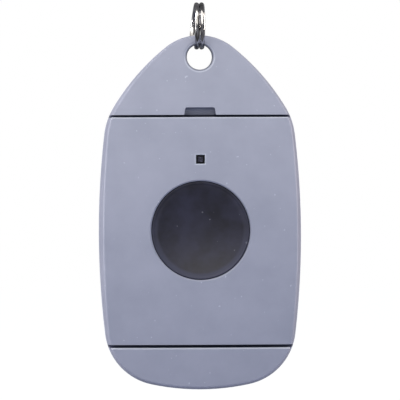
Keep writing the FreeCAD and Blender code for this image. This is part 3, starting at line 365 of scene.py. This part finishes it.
def plated_metal(name, dull, bright, rough, drawn=(1.0, 1.0, 1.0)):
    """Plated sheet or turned metal: clouded plating with fine scratches, drawn out by a scale."""
    finish = Finish(name)
    place = finish.place()
    cloud = finish.noise(place, size=0.0011)
    scratch = finish.noise(finish.stretched(place, drawn), size=0.0002, roughness=0.7)
    return finish.shade(Base_Color=finish.between(cloud, dull, bright), Metallic=1.0,
                        Roughness=rough + scratch * 0.22 + cloud * 0.06,
                        Normal=finish.bump(scratch, depth=0.000006, strength=0.45))


zinc = plated_metal("zinc-plated steel", paint(150, 152, 158), paint(196, 197, 200), rough=0.20,
                    drawn=(0.2, 1.0, 1.0))
for screws in ("board_screws", "case_screws", "retainer_screws"):
    coat(screws, zinc)


# Chips: the flat pack of the controller with bent tin-plated leads, and the leadless transmitter, both
# moulded in black epoxy and soldered to the board. A small dimple marks the first pin.

CHIP_LEAD_REACH = 0.0009
DIMPLE_INSET = 0.0008
DIMPLE_RADIUS = 0.0003
DIMPLE_FLOOR = 0.85
TIN = paint(190, 190, 188)


def chip_resin(node, lead_reach):
    """Filled epoxy with a fine matt grain and a dimple near its top left corner. What reaches past the body
    on the left and right is tinned."""
    finish = Finish(node.replace("_", " ") + " resin")
    place = finish.place()
    x, _, _ = finish.axes(place)
    low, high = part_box(node)
    dimple = Vector((low.x + lead_reach + DIMPLE_INSET, low.y, high.z - DIMPLE_INSET))
    pressed = finish.fade(finish.distance(place, dimple), DIMPLE_RADIUS * DIMPLE_FLOOR, DIMPLE_RADIUS)
    grain = finish.noise(place, size=0.00009, roughness=0.65)
    tone = finish.noise(place, size=0.0016, detail=2.0, roughness=0.5)
    resin = finish.between(tone, paint(20, 20, 23), paint(38, 38, 42))
    resin = finish.between(pressed * 0.6, resin, paint(58, 58, 62))
    lead = abs(x - (low.x + high.x) / 2) > (high.x - low.x) / 2 - lead_reach + SKIN
    resin = finish.between(lead, resin, TIN)
    coat(node, finish.shade(Base_Color=resin, Metallic=lead, Roughness=0.40 + grain * 0.12,
                            Normal=finish.bump(grain - pressed * 2.0, depth=0.00001, strength=0.5)))


chip_resin("microcontroller_chip", CHIP_LEAD_REACH)
chip_resin("transmitter_chip", 0.0)


# Quartz crystal and resonator: the parts that set the radio's frequency, each in a welded can of plated
# steel with a flat lid, soldered flat to the board.

CAN_DULL = paint(158, 154, 142)
CAN_BRIGHT = paint(206, 203, 192)
coat("quartz_crystal", plated_metal("crystal can plating", CAN_DULL, CAN_BRIGHT, rough=0.18,
                                    drawn=(1.0, 1.0, 0.15)))
coat("resonator_can", plated_metal("resonator can plating", CAN_DULL, CAN_BRIGHT, rough=0.24,
                                   drawn=(0.15, 1.0, 1.0)))


# Trimmer capacitor: a ceramic base with a plated rotor on it. A screwdriver turns the rotor by its slot
# when the transmitter is tuned.

ROTOR_HEIGHT = 0.0004
low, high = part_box("trimmer_capacitor")
finish = Finish("trimmer ceramic")
place = finish.place()
_, y, _ = finish.axes(place)
rotor = y < low.y + ROTOR_HEIGHT + SKIN
pits = finish.noise(place, size=0.00014)
ceramic = finish.between(pits, paint(188, 170, 132), paint(214, 200, 164))
ceramic = finish.between(rotor, ceramic, paint(196, 194, 186))
coat("trimmer_capacitor", finish.shade(Base_Color=ceramic, Metallic=rotor, Roughness=0.32 + pits * 0.25,
                                       Normal=finish.bump(pits, depth=0.000012, strength=0.5)))


# Chip capacitors and resistors: fired ceramic bodies between tinned end caps, soldered flat to the board.
# The caps stand a little proud of the body.

CAPACITOR_CAP_RISE = 0.00003
RESISTOR_CAP_RISE = 0.00002


def chip_ceramic(node, dark, light, cap_rise, rough):
    """Fired ceramic with a fine speckle, tinned where the end caps rise above it."""
    finish = Finish(node.replace("_", " ") + " ceramic")
    place = finish.place()
    _, y, _ = finish.axes(place)
    speck = finish.noise(place, size=0.00025, detail=2.0)
    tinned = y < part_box(node)[0].y + cap_rise
    body = finish.between(tinned, finish.between(speck, dark, light), TIN)
    coat(node, finish.shade(Base_Color=body, Metallic=tinned, Roughness=rough + speck * 0.2,
                            Normal=finish.bump(speck, depth=0.000008, strength=0.4)))


chip_ceramic("chip_capacitors", paint(128, 94, 60), paint(158, 122, 82), CAPACITOR_CAP_RISE, rough=0.34)
chip_ceramic("chip_resistors", paint(16, 16, 19), paint(34, 34, 38), RESISTOR_CAP_RISE, rough=0.22)


# Status light: a chip lamp with a clear domed lens cast on a white ceramic base. It is soldered to the
# board right behind the light pipe.

LAMP_BASE = 0.0005
low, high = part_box("indicator_led")
finish = Finish("lamp resin")
place = finish.place()
_, y, _ = finish.axes(place)
haze = finish.noise(place, size=0.0003, detail=2.0, roughness=0.5)
lens = y < high.y - LAMP_BASE - SKIN
resin = finish.between(haze, paint(222, 224, 214), paint(238, 239, 232))
resin = finish.between(lens, resin, paint(206, 214, 200))
coat("indicator_led", finish.shade(Base_Color=resin, Roughness=0.42 - lens * 0.32 + haze * 0.06, IOR=1.5,
                                   Normal=finish.bump(haze, depth=0.000006, strength=0.3)))


# Loop antenna: a bend of enamelled copper wire that stands up from the board and runs into the head. Both
# its ends are soldered to the board.

finish = Finish("enamelled copper")
place = finish.place()
crazing = finish.noise(place, size=0.0005)
copper = finish.between(crazing, paint(158, 82, 46), paint(204, 122, 78))
coat("loop_antenna", finish.shade(Base_Color=copper, Metallic=1.0, Roughness=0.22 + crazing * 0.12,
                                  Coat_Weight=0.6, Coat_Roughness=0.08,
                                  Normal=finish.bump(crazing, depth=0.000008, strength=0.4)))


# Battery holder: a moulded tray of black nylon with a round wall, open towards the switch so that the cell
# can be pushed out. It is stuck to the board between the two contacts.

def moulded_plastic(name, low, high, rough):
    """Plain moulded plastic with a fine grain and flow marks a few millimetres long."""
    finish = Finish(name)
    place = finish.place()
    flow = finish.noise(finish.stretched(place, (1.0, 1.0, 0.45)), size=0.0028, roughness=0.55)
    grain = finish.noise(place, size=0.00018)
    return finish.shade(Base_Color=finish.between(flow, low, high), Roughness=rough + grain * 0.14, IOR=1.5,
                        Normal=finish.bump(grain, depth=0.00001, strength=0.45))


coat("battery_holder", moulded_plastic("holder nylon", paint(18, 18, 21), paint(32, 32, 36), rough=0.44))


# Battery contacts: a strip that springs over the face of the cell and a leaf under its cap, both punched
# from nickel-plated bronze and soldered to the board.

contact = plated_metal("contact bronze", paint(172, 160, 128), paint(206, 198, 172), rough=0.20,
                       drawn=(1.0, 1.0, 0.12))
coat("battery_contact_positive", contact)
coat("battery_contact_negative", contact)


# Coin cell: a nickel-plated steel can, pressed and tumbled, with a shallow ring turned in its face. It lies
# in the holder with its cap on the leaf contact.

FACE_RING_RADIUS = 0.0062
FACE_RING_WIDTH = 0.00012
TURNING_PITCH = 0.00012
low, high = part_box("battery_cell")
cell_middle = (low + high) / 2
finish = Finish("cell can")
place = finish.place()
out = finish.from_axis(place, cell_middle.z, cell_middle.x)
ring_line = finish.fade(abs(out - FACE_RING_RADIUS), 0.0, FACE_RING_WIDTH)
turning = finish.noise(finish.add("CombineXYZ", {}, {"X": out}), TURNING_PITCH, detail=2.0)
scuffs = finish.noise(finish.stretched(place, (1.0, 1.0, 0.3)), size=0.0022, detail=4.0, roughness=0.7)
nickel = finish.between(scuffs, paint(176, 176, 178), paint(206, 206, 206))
coat("battery_cell", finish.shade(Base_Color=nickel, Metallic=1.0,
                                  Roughness=0.16 + scuffs * 0.16 + turning * 0.08,
                                  Normal=finish.bump(turning * 0.4 - ring_line, depth=0.00002, strength=0.5)))


# Tactile switch: a black moulded base under a punched steel plate, a domed spring leaf in its pocket, the
# red stem that the button's diaphragm presses, and four tinned terminals bent on to the board.

coat("switch_housing", moulded_plastic("switch resin", paint(20, 20, 22), paint(34, 34, 37), rough=0.42))
coat("switch_plate", plated_metal("switch plate steel", paint(172, 172, 175), paint(204, 204, 206),
                                  rough=0.22, drawn=(0.1, 1.0, 1.0)))
coat("switch_dome", plated_metal("dome steel", paint(160, 160, 162), paint(210, 210, 210), rough=0.12))
coat("switch_stem", moulded_plastic("stem plastic", paint(128, 26, 22), paint(150, 36, 30), rough=0.34))
terminal_tin = plated_metal("terminal tin", paint(166, 166, 164), paint(200, 200, 198), rough=0.28)
coat("switch_terminals", terminal_tin)


# Solder joints: a fillet of tin solder at each end of the chip parts and the lamp, on each lead of the
# controller, and round the feet of the antenna, the switch and the battery strip. One drop is modelled,
# flat where it lies on the board, and copied.

DROP_SIDES = 20
SMOOTH_SOLDER = math.radians(50)
SAME_POINT = 0.000001
board_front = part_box("circuit_board")[0].y
bpy.ops.mesh.primitive_uv_sphere_add(segments=DROP_SIDES, ring_count=DROP_SIDES // 2, radius=1.0)
drop = bpy.context.object
bpy.ops.object.mode_set(mode="EDIT")
bpy.ops.mesh.select_all(action="SELECT")
bpy.ops.mesh.bisect(plane_co=(0, 0, 0), plane_no=(0, 1, 0), use_fill=True, clear_outer=True)
bpy.ops.object.mode_set(mode="OBJECT")


def separate_boxes(node):
    """The low and high corner of each separate body in a CAD node, found on a copy that is taken apart."""
    copy = bpy.data.objects.new("copy of " + node, nodes[node].data.copy())
    bpy.context.scene.collection.objects.link(copy)
    bpy.ops.object.select_all(action="DESELECT")
    copy.select_set(True)
    bpy.context.view_layer.objects.active = copy
    bpy.ops.object.mode_set(mode="EDIT")
    bpy.ops.mesh.select_all(action="SELECT")
    bpy.ops.mesh.remove_doubles(threshold=SAME_POINT)
    bpy.ops.mesh.separate(type="LOOSE")
    bpy.ops.object.mode_set(mode="OBJECT")
    boxes = []
    for piece in list(bpy.context.selected_objects):
        corners = [vertex.co for vertex in piece.data.vertices]
        boxes.append((Vector([min(corner[i] for corner in corners) for i in range(3)]),
                      Vector([max(corner[i] for corner in corners) for i in range(3)])))
        bpy.data.objects.remove(piece)
    return boxes


# A drop is given by half its width across, half its width up and its rise off the board.
CHIP_DROP_HALF = 0.00022
CHIP_DROP_SHARE = 0.95
CHIP_DROP_RISE = 0.0004
LAMP_DROP = (0.0002, 0.0005, 0.0003)
WIRE_DROP = (0.0008, 0.0008, 0.0006)
STRIP_DROP = (0.0005, 0.0012, 0.0003)
LEAD_DROP = (0.00018, 0.00017, 0.00018)
WIRE_RADIUS = 0.00035
LEADS = 8
LEAD_PITCH = 0.00065
feet = []
for node in ("chip_capacitors", "chip_resistors", "switch_terminals"):
    for low, high in separate_boxes(node):
        middle = (low + high) / 2
        drop_shape = (CHIP_DROP_HALF, (high.z - low.z) / 2 * CHIP_DROP_SHARE,
                      min(high.y - low.y, CHIP_DROP_RISE))
        outer_end = low.x if middle.x < 0 else high.x
        ends = (outer_end,) if node == "switch_terminals" else (low.x, high.x)
        feet += [(end, middle.z, drop_shape) for end in ends]
low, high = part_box("indicator_led")
feet += [(end, (low.z + high.z) / 2, LAMP_DROP) for end in (low.x, high.x)]
low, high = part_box("loop_antenna")
feet += [(end, low.z + WIRE_RADIUS, WIRE_DROP) for end in (low.x + WIRE_RADIUS, high.x - WIRE_RADIUS)]
low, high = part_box("battery_contact_positive")
feet.append((high.x, (low.z + high.z) / 2, STRIP_DROP))
low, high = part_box("microcontroller_chip")
for end in (low.x, high.x):
    for number in range(LEADS):
        lead_z = (low.z + high.z) / 2 + (number - (LEADS - 1) / 2) * LEAD_PITCH
        feet.append((end, lead_z, LEAD_DROP))

bpy.ops.object.select_all(action="DESELECT")
for x, z, (half_across, half_up, rise) in feet:
    joint = bpy.data.objects.new("solder joint", drop.data.copy())
    shape = Matrix.Diagonal((half_across, rise, half_up, 1.0))
    joint.data.transform(Matrix.Translation((x, board_front, z)) @ shape)
    bpy.context.scene.collection.objects.link(joint)
    joint.select_set(True)
    bpy.context.view_layer.objects.active = joint
bpy.ops.object.join()
solder = bpy.context.object
solder.name = "solder_joints"
bpy.data.objects.remove(drop)
bpy.ops.object.shade_smooth_by_angle(angle=SMOOTH_SOLDER)
tin_solder = plated_metal("tin solder", paint(168, 168, 166), paint(206, 206, 204), rough=0.16)
solder.data.materials.append(tin_solder)
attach(solder, "case")


# Cover seal: a flat loop moulded in black rubber. It lies on the ledge of the frame and is squeezed by the
# cover.

def rubber(name, low, high, rough):
    """Moulded rubber with a matt bloom and fine pores."""
    finish = Finish(name)
    place = finish.place()
    bloom = finish.noise(place, size=0.0015)
    pores = finish.noise(place, size=0.0001, detail=2.0, roughness=0.7)
    return finish.shade(Base_Color=finish.between(bloom, low, high), Roughness=rough + bloom * 0.12,
                        Normal=finish.bump(pores, depth=0.00001, strength=0.6))


coat("cover_seal", rubber("seal rubber", paint(20, 20, 22), paint(34, 34, 37), rough=0.62))


# Front cover: the plate between the two grooves, moulded in the same plastic as the frame, with four pegs
# that are pushed into the frame's lugs. Painted shade darkens the upper part of the gap round the button, and
# a painted highlight lightens the rim of the window.

WINDOW_HALF = 0.00085
WINDOW_RIM_WIDTH = 0.0003
OPENING_RADIUS = 0.00945
# Reach of the painted shade in the gap round the button, and the height over which it and the painted
# highlight on the button's brim fade.
GAP_SHADE_WIDTH = 0.00008
UPPER_LOWER_FADE = 0.007
button_low, button_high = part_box("button_cap")
button_z = (button_low.z + button_high.z) / 2
pipe_low, pipe_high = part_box("light_pipe")
window_z = (pipe_low.z + pipe_high.z) / 2


def from_window(finish, place):
    """How far a place is from the middle of the square window, across or up, whichever is more."""
    x, _, z = finish.axes(place)
    return abs(x).larger(abs(z - window_z))


def cover_highlight_and_shade(finish, place, body):
    """A painted highlight on the rim of the window, and painted shade in the upper part of the gap round the
    button.
    """
    away = from_window(finish, place)
    # Painted highlight round the rim of the window.
    window_rim_highlight = finish.fade(away, WINDOW_HALF, WINDOW_HALF + WINDOW_RIM_WIDTH) * (away > WINDOW_HALF - SKIN)
    body = finish.between(window_rim_highlight * 0.9, body, EDGE_HIGHLIGHT_PAINT)
    _, _, z = finish.axes(place)
    out = finish.from_axis(place, button_z)
    # Painted shade in the gap round the button, full in its upper part and gone at the bottom.
    gap_shade = finish.fade(out, OPENING_RADIUS + SKIN, OPENING_RADIUS + GAP_SHADE_WIDTH)
    upper_part = finish.rise(z, button_z - UPPER_LOWER_FADE, button_z + UPPER_LOWER_FADE)
    return finish.between(gap_shade * upper_part, body, GROOVE_AND_GAP_SHADE)


coat("front_cover", satin_plastic("cover plastic", cover_highlight_and_shade))


# Light pipe: a bar of smoked acrylic that carries the light to the status window. It is pushed in from
# behind and held by its flange under the cover.

CLEAR_HALF = 0.00049
finish = Finish("smoked acrylic")
place = finish.place()
swirl = finish.noise(place, size=0.0003, detail=1.0, roughness=0.5)
smoke_and_shade = finish.between(finish.rise(swirl, 0.45, 0.75), paint(44, 43, 56), paint(92, 90, 104))
# Painted shade: near black round the clear tip, in the gap inside the window.
smoke_and_shade = finish.between(from_window(finish, place) > CLEAR_HALF, smoke_and_shade, paint(12, 12, 22))
coat("light_pipe", finish.shade(Base_Color=smoke_and_shade, Roughness=0.16 + swirl * 0.1, IOR=1.49,
                                Normal=finish.bump(swirl, depth=0.00001, strength=0.3)))


# Diaphragm and clamping ring: the sheet of silicone that keeps water out under the button, held against the
# boss of the cover by a white moulded ring and three small screws.

silicone = rubber("diaphragm silicone", paint(150, 151, 148), paint(176, 177, 172), rough=0.42)
ring_plastic = moulded_plastic("ring plastic", paint(206, 206, 202), paint(222, 222, 218), rough=0.40)
coat("button_seal", silicone)
coat("button_retainer", ring_plastic)


# Call button: a cap with a finger dish, moulded in dark plastic a little glossier than the housing, with its
# brim rubbed matt and a painted highlight on its lower brim. Its flange is caught behind the cover, and the
# plunger in its middle presses the diaphragm.

CAP_SIDES = 160
DISH_DEPTH = 0.0013
DISH_RINGS = 16
DISH_SHARE = 0.94
DISH_EDGE_DEPTH = 0.0002
BRIM_RINGS = 5
RIM_FLAT = 0.00004
RIM_ROUND = 0.00012
ROUND_STEP = 15
FLANGE_REACH = 0.00075
FLANGE_THICKNESS = 0.0006
CAP_HEIGHT = 0.0026
SKIRT_WALL = 0.001
CAP_WALL = 0.0011
PLUNGER_RADIUS = 0.0016
flange_radius = (button_high.x - button_low.x) / 2
cap_radius = flange_radius - FLANGE_REACH
skirt_radius = cap_radius - SKIRT_WALL
rim_y = button_low.y
back_y = rim_y + CAP_HEIGHT
flange_y = back_y - FLANGE_THICKNESS
rim_radius = cap_radius - RIM_ROUND - RIM_FLAT
dish_radius = rim_radius * DISH_SHARE
ball_rise = DISH_DEPTH - DISH_EDGE_DEPTH
ball_radius = (dish_radius ** 2 + ball_rise ** 2) / (2 * ball_rise)
ball_y = rim_y + DISH_DEPTH - ball_radius


def ball_depth(radius, wall=0.0):
    """How deep the ball that hollows the dish, or that ball with a wall round it, reaches at a radius."""
    return ball_y + math.sqrt((ball_radius + wall) ** 2 - radius ** 2)


profile = []
for number in range(1, DISH_RINGS + 1):
    radius = dish_radius * number / DISH_RINGS
    profile.append((radius, ball_depth(radius)))
for number in range(1, BRIM_RINGS + 1):
    share = number / BRIM_RINGS
    profile.append((dish_radius + (rim_radius - dish_radius) * share,
                    rim_y + DISH_EDGE_DEPTH * (1 + math.cos(math.pi * share)) / 2))
for degrees in range(0, 91, ROUND_STEP):
    angle = math.radians(degrees)
    profile.append((cap_radius - RIM_ROUND * (1 - math.sin(angle)),
                    rim_y + RIM_ROUND * (1 - math.cos(angle))))
profile += [(cap_radius, flange_y), (flange_radius, flange_y), (flange_radius, back_y),
            (skirt_radius, back_y), (skirt_radius, ball_depth(skirt_radius, CAP_WALL)),
            (PLUNGER_RADIUS, ball_depth(PLUNGER_RADIUS, CAP_WALL)), (PLUNGER_RADIUS, button_high.y)]
radius, y = profile[0]
bpy.ops.mesh.primitive_circle_add(vertices=CAP_SIDES, radius=radius, fill_type="NOTHING",
                                  location=(0, y, button_z), rotation=(math.radians(90), 0, 0))
button = bpy.context.object
button.name = "dished_call_button"
bpy.ops.object.transform_apply(location=True, rotation=True, scale=True)
bpy.ops.object.mode_set(mode="EDIT")
bpy.ops.mesh.select_all(action="SELECT")
for next_radius, next_y in profile[1:]:
    bpy.ops.mesh.extrude_edges_move(TRANSFORM_OT_translate={"value": (0, next_y - y, 0)})
    share = next_radius / radius
    bpy.ops.transform.resize(value=(share, 1, share), center_override=(0, next_y, button_z))
    radius, y = next_radius, next_y
bpy.ops.mesh.select_all(action="SELECT")
bpy.ops.mesh.fill_holes(sides=0)
bpy.ops.mesh.normals_make_consistent(inside=False)
bpy.ops.object.mode_set(mode="OBJECT")


EDGE_ROUND = 0.00004


def round_edges(piece, sharp, smooth):
    """Rounds the edges that turn by more than the first angle, and shades those under the second smooth."""
    bevel = piece.modifiers.new("rounded edges", "BEVEL")
    bevel.width = EDGE_ROUND
    bevel.segments = 2
    bevel.limit_method = "ANGLE"
    bevel.angle_limit = math.radians(sharp)
    bpy.ops.object.modifier_apply(modifier=bevel.name)
    bpy.ops.object.shade_smooth_by_angle(angle=math.radians(smooth))


round_edges(button, sharp=50, smooth=30)

# The matt brim and its painted highlight start, and are full, this far inside the edge of the dish.
BRIM_START = 0.0006
BRIM_FULL = 0.0001
finish = Finish("button plastic")
place = finish.place()
_, _, z = finish.axes(place)
grain = finish.noise(place, size=0.00014)
tone = finish.noise(place, size=0.005)
dark = finish.between(finish.rise(tone, 0.35, 0.65), paint(37, 36, 47), paint(49, 48, 66))
dark = dusted(finish, place, dark, paint(150, 150, 160), size=0.0007, level=0.84, share=0.35)
out = finish.from_axis(place, button_z)
brim = finish.rise(out, dish_radius - BRIM_START, dish_radius - BRIM_FULL)
# Painted highlight: the lower part of the brim is paler, as it faces up into the light.
lower_brim_highlight = brim * finish.fade(z, button_z - UPPER_LOWER_FADE, button_z + UPPER_LOWER_FADE, 0.55)
dark = finish.between(lower_brim_highlight, dark, paint(78, 78, 99))
button.data.materials.append(finish.shade(Base_Color=dark, IOR=1.43,
                                          Roughness=0.42 + (grain - 0.5) * 0.14 + brim * 0.2,
                                          Normal=finish.bump(grain, depth=0.00001, strength=0.5)))
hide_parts("button_cap")
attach(button, "button")


# Split ring: two coils of hard-drawn steel wire, rolled a little wider than it is thick so that the coils
# lie close, and polished bright over the streaks of the drawing. Its ends are cut square at the back. It is
# threaded through the lanyard hole.

RING_WIRE = 0.0008
RING_WIRE_WIDTH = 0.00094
RING_PITCH = 0.00098
RING_SWIVEL = math.radians(1.0)
WIRE_SIDES = 28
SPIN_STEP = math.radians(4)
FIRST_END_TURN = math.radians(30)
LAST_END_TURN = math.radians(60)
# This keeps the widened wire within the box of the solid ring.
RING_SLACK = 0.000015
low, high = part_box("split_ring")
ring_radius = (high.z - low.z - RING_WIRE) / 2 - RING_SLACK
half_pitch = RING_PITCH / 2
ring_back = math.hypot(ring_radius, half_pitch)
backwards = Vector((0, 1, 0))
climb = Vector((half_pitch, 0, ring_radius)).normalized()


def arc_between(start, heading, end):
    """Centre, axis and turn of the arc that leaves start in this heading and reaches end."""
    chord = end - start
    inward = (chord - heading * chord.dot(heading)).normalized()
    radius = chord.length_squared / (2 * chord.dot(inward))
    centre = start + inward * radius
    turn = math.atan2((end - centre).dot(heading), (end - centre).dot(-inward)) % (2 * math.pi)
    return centre, heading.cross(inward), turn


def lower_quarter(x):
    """The arc from the bottom of the coil at x to the middle of the back, half a pitch further on."""
    return arc_between(Vector((x, 0, -ring_radius)), backwards, Vector((x + half_pitch, ring_back, 0)))


def upper_quarter(x):
    """The arc from the middle of the back to the top of the coil at x, half a pitch further on."""
    return arc_between(Vector((x - half_pitch, ring_back, 0)), climb, Vector((x, 0, ring_radius)))


def front_half(x):
    """The half circle from the top of the coil at x over the front to its bottom."""
    return Vector((x, 0, 0)), Vector((1, 0, 0)), math.pi


first_x = -3 * half_pitch
centre, axis, turn = lower_quarter(first_x)
reach = Matrix.Rotation(turn - FIRST_END_TURN, 3, axis) @ (Vector((first_x, 0, -ring_radius)) - centre)
heading = axis.cross(reach).normalized()
bpy.ops.mesh.primitive_circle_add(vertices=WIRE_SIDES, radius=RING_WIRE / 2, location=centre + reach,
                                  rotation=heading.to_track_quat("Z", "X").to_euler())
ring = bpy.context.object
ring.name = "steel_split_ring"
bpy.ops.object.transform_apply(location=True, rotation=True, scale=True)
bpy.ops.object.mode_set(mode="EDIT")
bpy.ops.mesh.select_all(action="SELECT")
bpy.ops.transform.resize(value=(RING_WIRE_WIDTH / RING_WIRE, 1, 1), center_override=centre + reach)
last_centre, last_axis, _ = lower_quarter(half_pitch)
arcs = ((centre, axis, FIRST_END_TURN), upper_quarter(-half_pitch), front_half(-half_pitch),
        lower_quarter(-half_pitch), upper_quarter(half_pitch), front_half(half_pitch),
        (last_centre, last_axis, LAST_END_TURN))
for centre, axis, turn in arcs:
    bpy.ops.mesh.spin(steps=math.ceil(turn / SPIN_STEP), angle=-turn, center=centre, axis=axis)
bpy.ops.mesh.select_all(action="SELECT")
bpy.ops.mesh.remove_doubles(threshold=SAME_POINT)
bpy.ops.mesh.fill_holes(sides=0)
bpy.ops.mesh.normals_make_consistent(inside=False)
bpy.ops.object.mode_set(mode="OBJECT")
ring.data.transform(Matrix.Rotation(RING_SWIVEL, 4, "Z"))
round_edges(ring, sharp=60, smooth=40)

finish = Finish("polished steel wire")
place = finish.place()
drawn = finish.noise(finish.stretched(place, (1.0, 0.2, 0.2)), size=0.00045, detail=2.0)
smudge = finish.noise(place, size=0.0016, detail=2.0, roughness=0.5)
steel = finish.between(finish.rise(drawn, 0.36, 0.56), paint(116, 114, 115), paint(214, 214, 220))
ring.data.materials.append(finish.shade(Base_Color=steel, Metallic=1.0, Roughness=0.10 + smudge * 0.10,
                                        Normal=finish.bump(drawn, depth=0.00002, strength=0.6)))
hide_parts("split_ring")
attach(ring, "ring")


# Studio: the pendant hangs over a pale floor in a dim bluish room, under one large softbox in front of it
# and above, with a narrow strip of light on either side. The backdrop is white to the camera, and the
# polished ring shows a little of it too.

FLOOR_SIZE = 2.4
FLOOR_BACK = 0.6
FLOOR_DROP = 0.012
FLOOR_GLOW = 0.88
FLOOR_WHITE = 1.12
WHITE = (1, 1, 1, 1)
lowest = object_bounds()[0]
bpy.ops.mesh.primitive_plane_add(size=FLOOR_SIZE, location=(0, FLOOR_BACK, lowest[2] - FLOOR_DROP))
floor = bpy.context.object
floor.name = "studio_floor"
finish = Finish("pale floor")
seen = finish.add("LightPath", output="Is Camera Ray")
mirrored = finish.add("LightPath", output="Is Glossy Ray")
pale = finish.add("BsdfDiffuse", {}, {"Color": paint(174, 178, 194)})
dull = finish.add("BsdfDiffuse", {}, {"Color": paint(108, 106, 108)})
shadowed = finish.add("MixShader", {}, {0: mirrored, 1: pale, 2: dull})
white = finish.add("Emission", {}, {"Color": WHITE, "Strength": FLOOR_WHITE})
lit = finish.add("MixShader", {}, {0: seen * FLOOR_GLOW, 1: shadowed, 2: white})
from_below = finish.add("NewGeometry", output="Backfacing")
clear = finish.add("BsdfTransparent")
finish.add("OutputMaterial", {}, {"Surface": finish.add("MixShader", {}, {0: from_below, 1: lit, 2: clear})})
floor.data.materials.append(finish.owner)

ROOM_LIGHT = 0.41
ROOM_BLUE = (0.50, 0.73, 1.0, 1.0)
MIRRORED_ROOM = 0.25
MIRRORED_TINT = (0.8, 0.78, 0.8, 1.0)
MIRRORED_BACKDROP = 0.08
room = Finish("studio room", bpy.data.worlds)
seen = room.add("LightPath", output="Is Camera Ray")
mirrored = room.add("LightPath", output="Is Glossy Ray")
dim = room.add("Background", {}, {"Color": room.between(mirrored, ROOM_BLUE, MIRRORED_TINT),
                                  "Strength": ROOM_LIGHT * (1 - mirrored * (1 - MIRRORED_ROOM))})
white = room.add("Background", {}, {"Color": WHITE, "Strength": 1.0})
backdrop = room.add("MixShader", {}, {0: seen + mirrored * MIRRORED_BACKDROP, 1: dim, 2: white})
room.add("OutputWorld", {}, {"Surface": backdrop})
bpy.context.scene.world = room.owner

LAMP_AIM = Vector((0, 0, -0.035))


def softbox(name, place, wide, tall, power, colour):
    """A soft lamp that points at the middle of the pendant."""
    light = bpy.data.lights.new(name, "AREA")
    light.shape = "RECTANGLE"
    light.size = wide
    light.size_y = tall
    light.energy = power
    light.color = colour
    holder = bpy.data.objects.new(name, light)
    holder.visible_camera = False
    bpy.context.scene.collection.objects.link(holder)
    holder.location = place
    holder.rotation_euler = (LAMP_AIM - Vector(place)).to_track_quat("-Z", "Y").to_euler()


softbox("top softbox", (-0.11, -0.41, 0.38), wide=0.98, tall=0.78, power=4.6, colour=(1.0, 0.96, 0.85))
softbox("left strip", (-0.50, 0.04, 0.03), wide=0.10, tall=0.56, power=2.6, colour=(1.0, 0.97, 0.91))
softbox("right strip", (0.50, 0.04, 0.05), wide=0.10, tall=0.56, power=2.4, colour=(1.0, 0.90, 0.78))

bpy.context.scene.view_settings.view_transform = "Standard"


# Camera: level with the middle of the pendant and a little to its left, through a long lens. It is rolled a
# hair, because the pendant leans a hair in the photograph.

CAMERA_AZIMUTH = math.radians(-1.6)
CAMERA_ROLL = math.radians(0.22)
CAMERA_DISTANCE = 1.0
FRAME_WIDTH = 0.0769
SENSOR = 36.0
NEAREST = 0.05
TARGET = Vector((0.00003, 0.0, -0.03346))
camera = bpy.data.cameras.new("camera")
camera.sensor_width = SENSOR
camera.lens = SENSOR * CAMERA_DISTANCE / FRAME_WIDTH
camera.clip_start = NEAREST
holder = bpy.data.objects.new("camera", camera)
bpy.context.scene.collection.objects.link(holder)
holder.location = TARGET + CAMERA_DISTANCE * Vector((math.sin(CAMERA_AZIMUTH), -math.cos(CAMERA_AZIMUTH), 0))
look = (TARGET - holder.location).to_track_quat("-Z", "Y").to_matrix().to_4x4()
holder.rotation_euler = (look @ Matrix.Rotation(-CAMERA_ROLL, 4, "Z")).to_euler()
bpy.context.scene.camera = holder
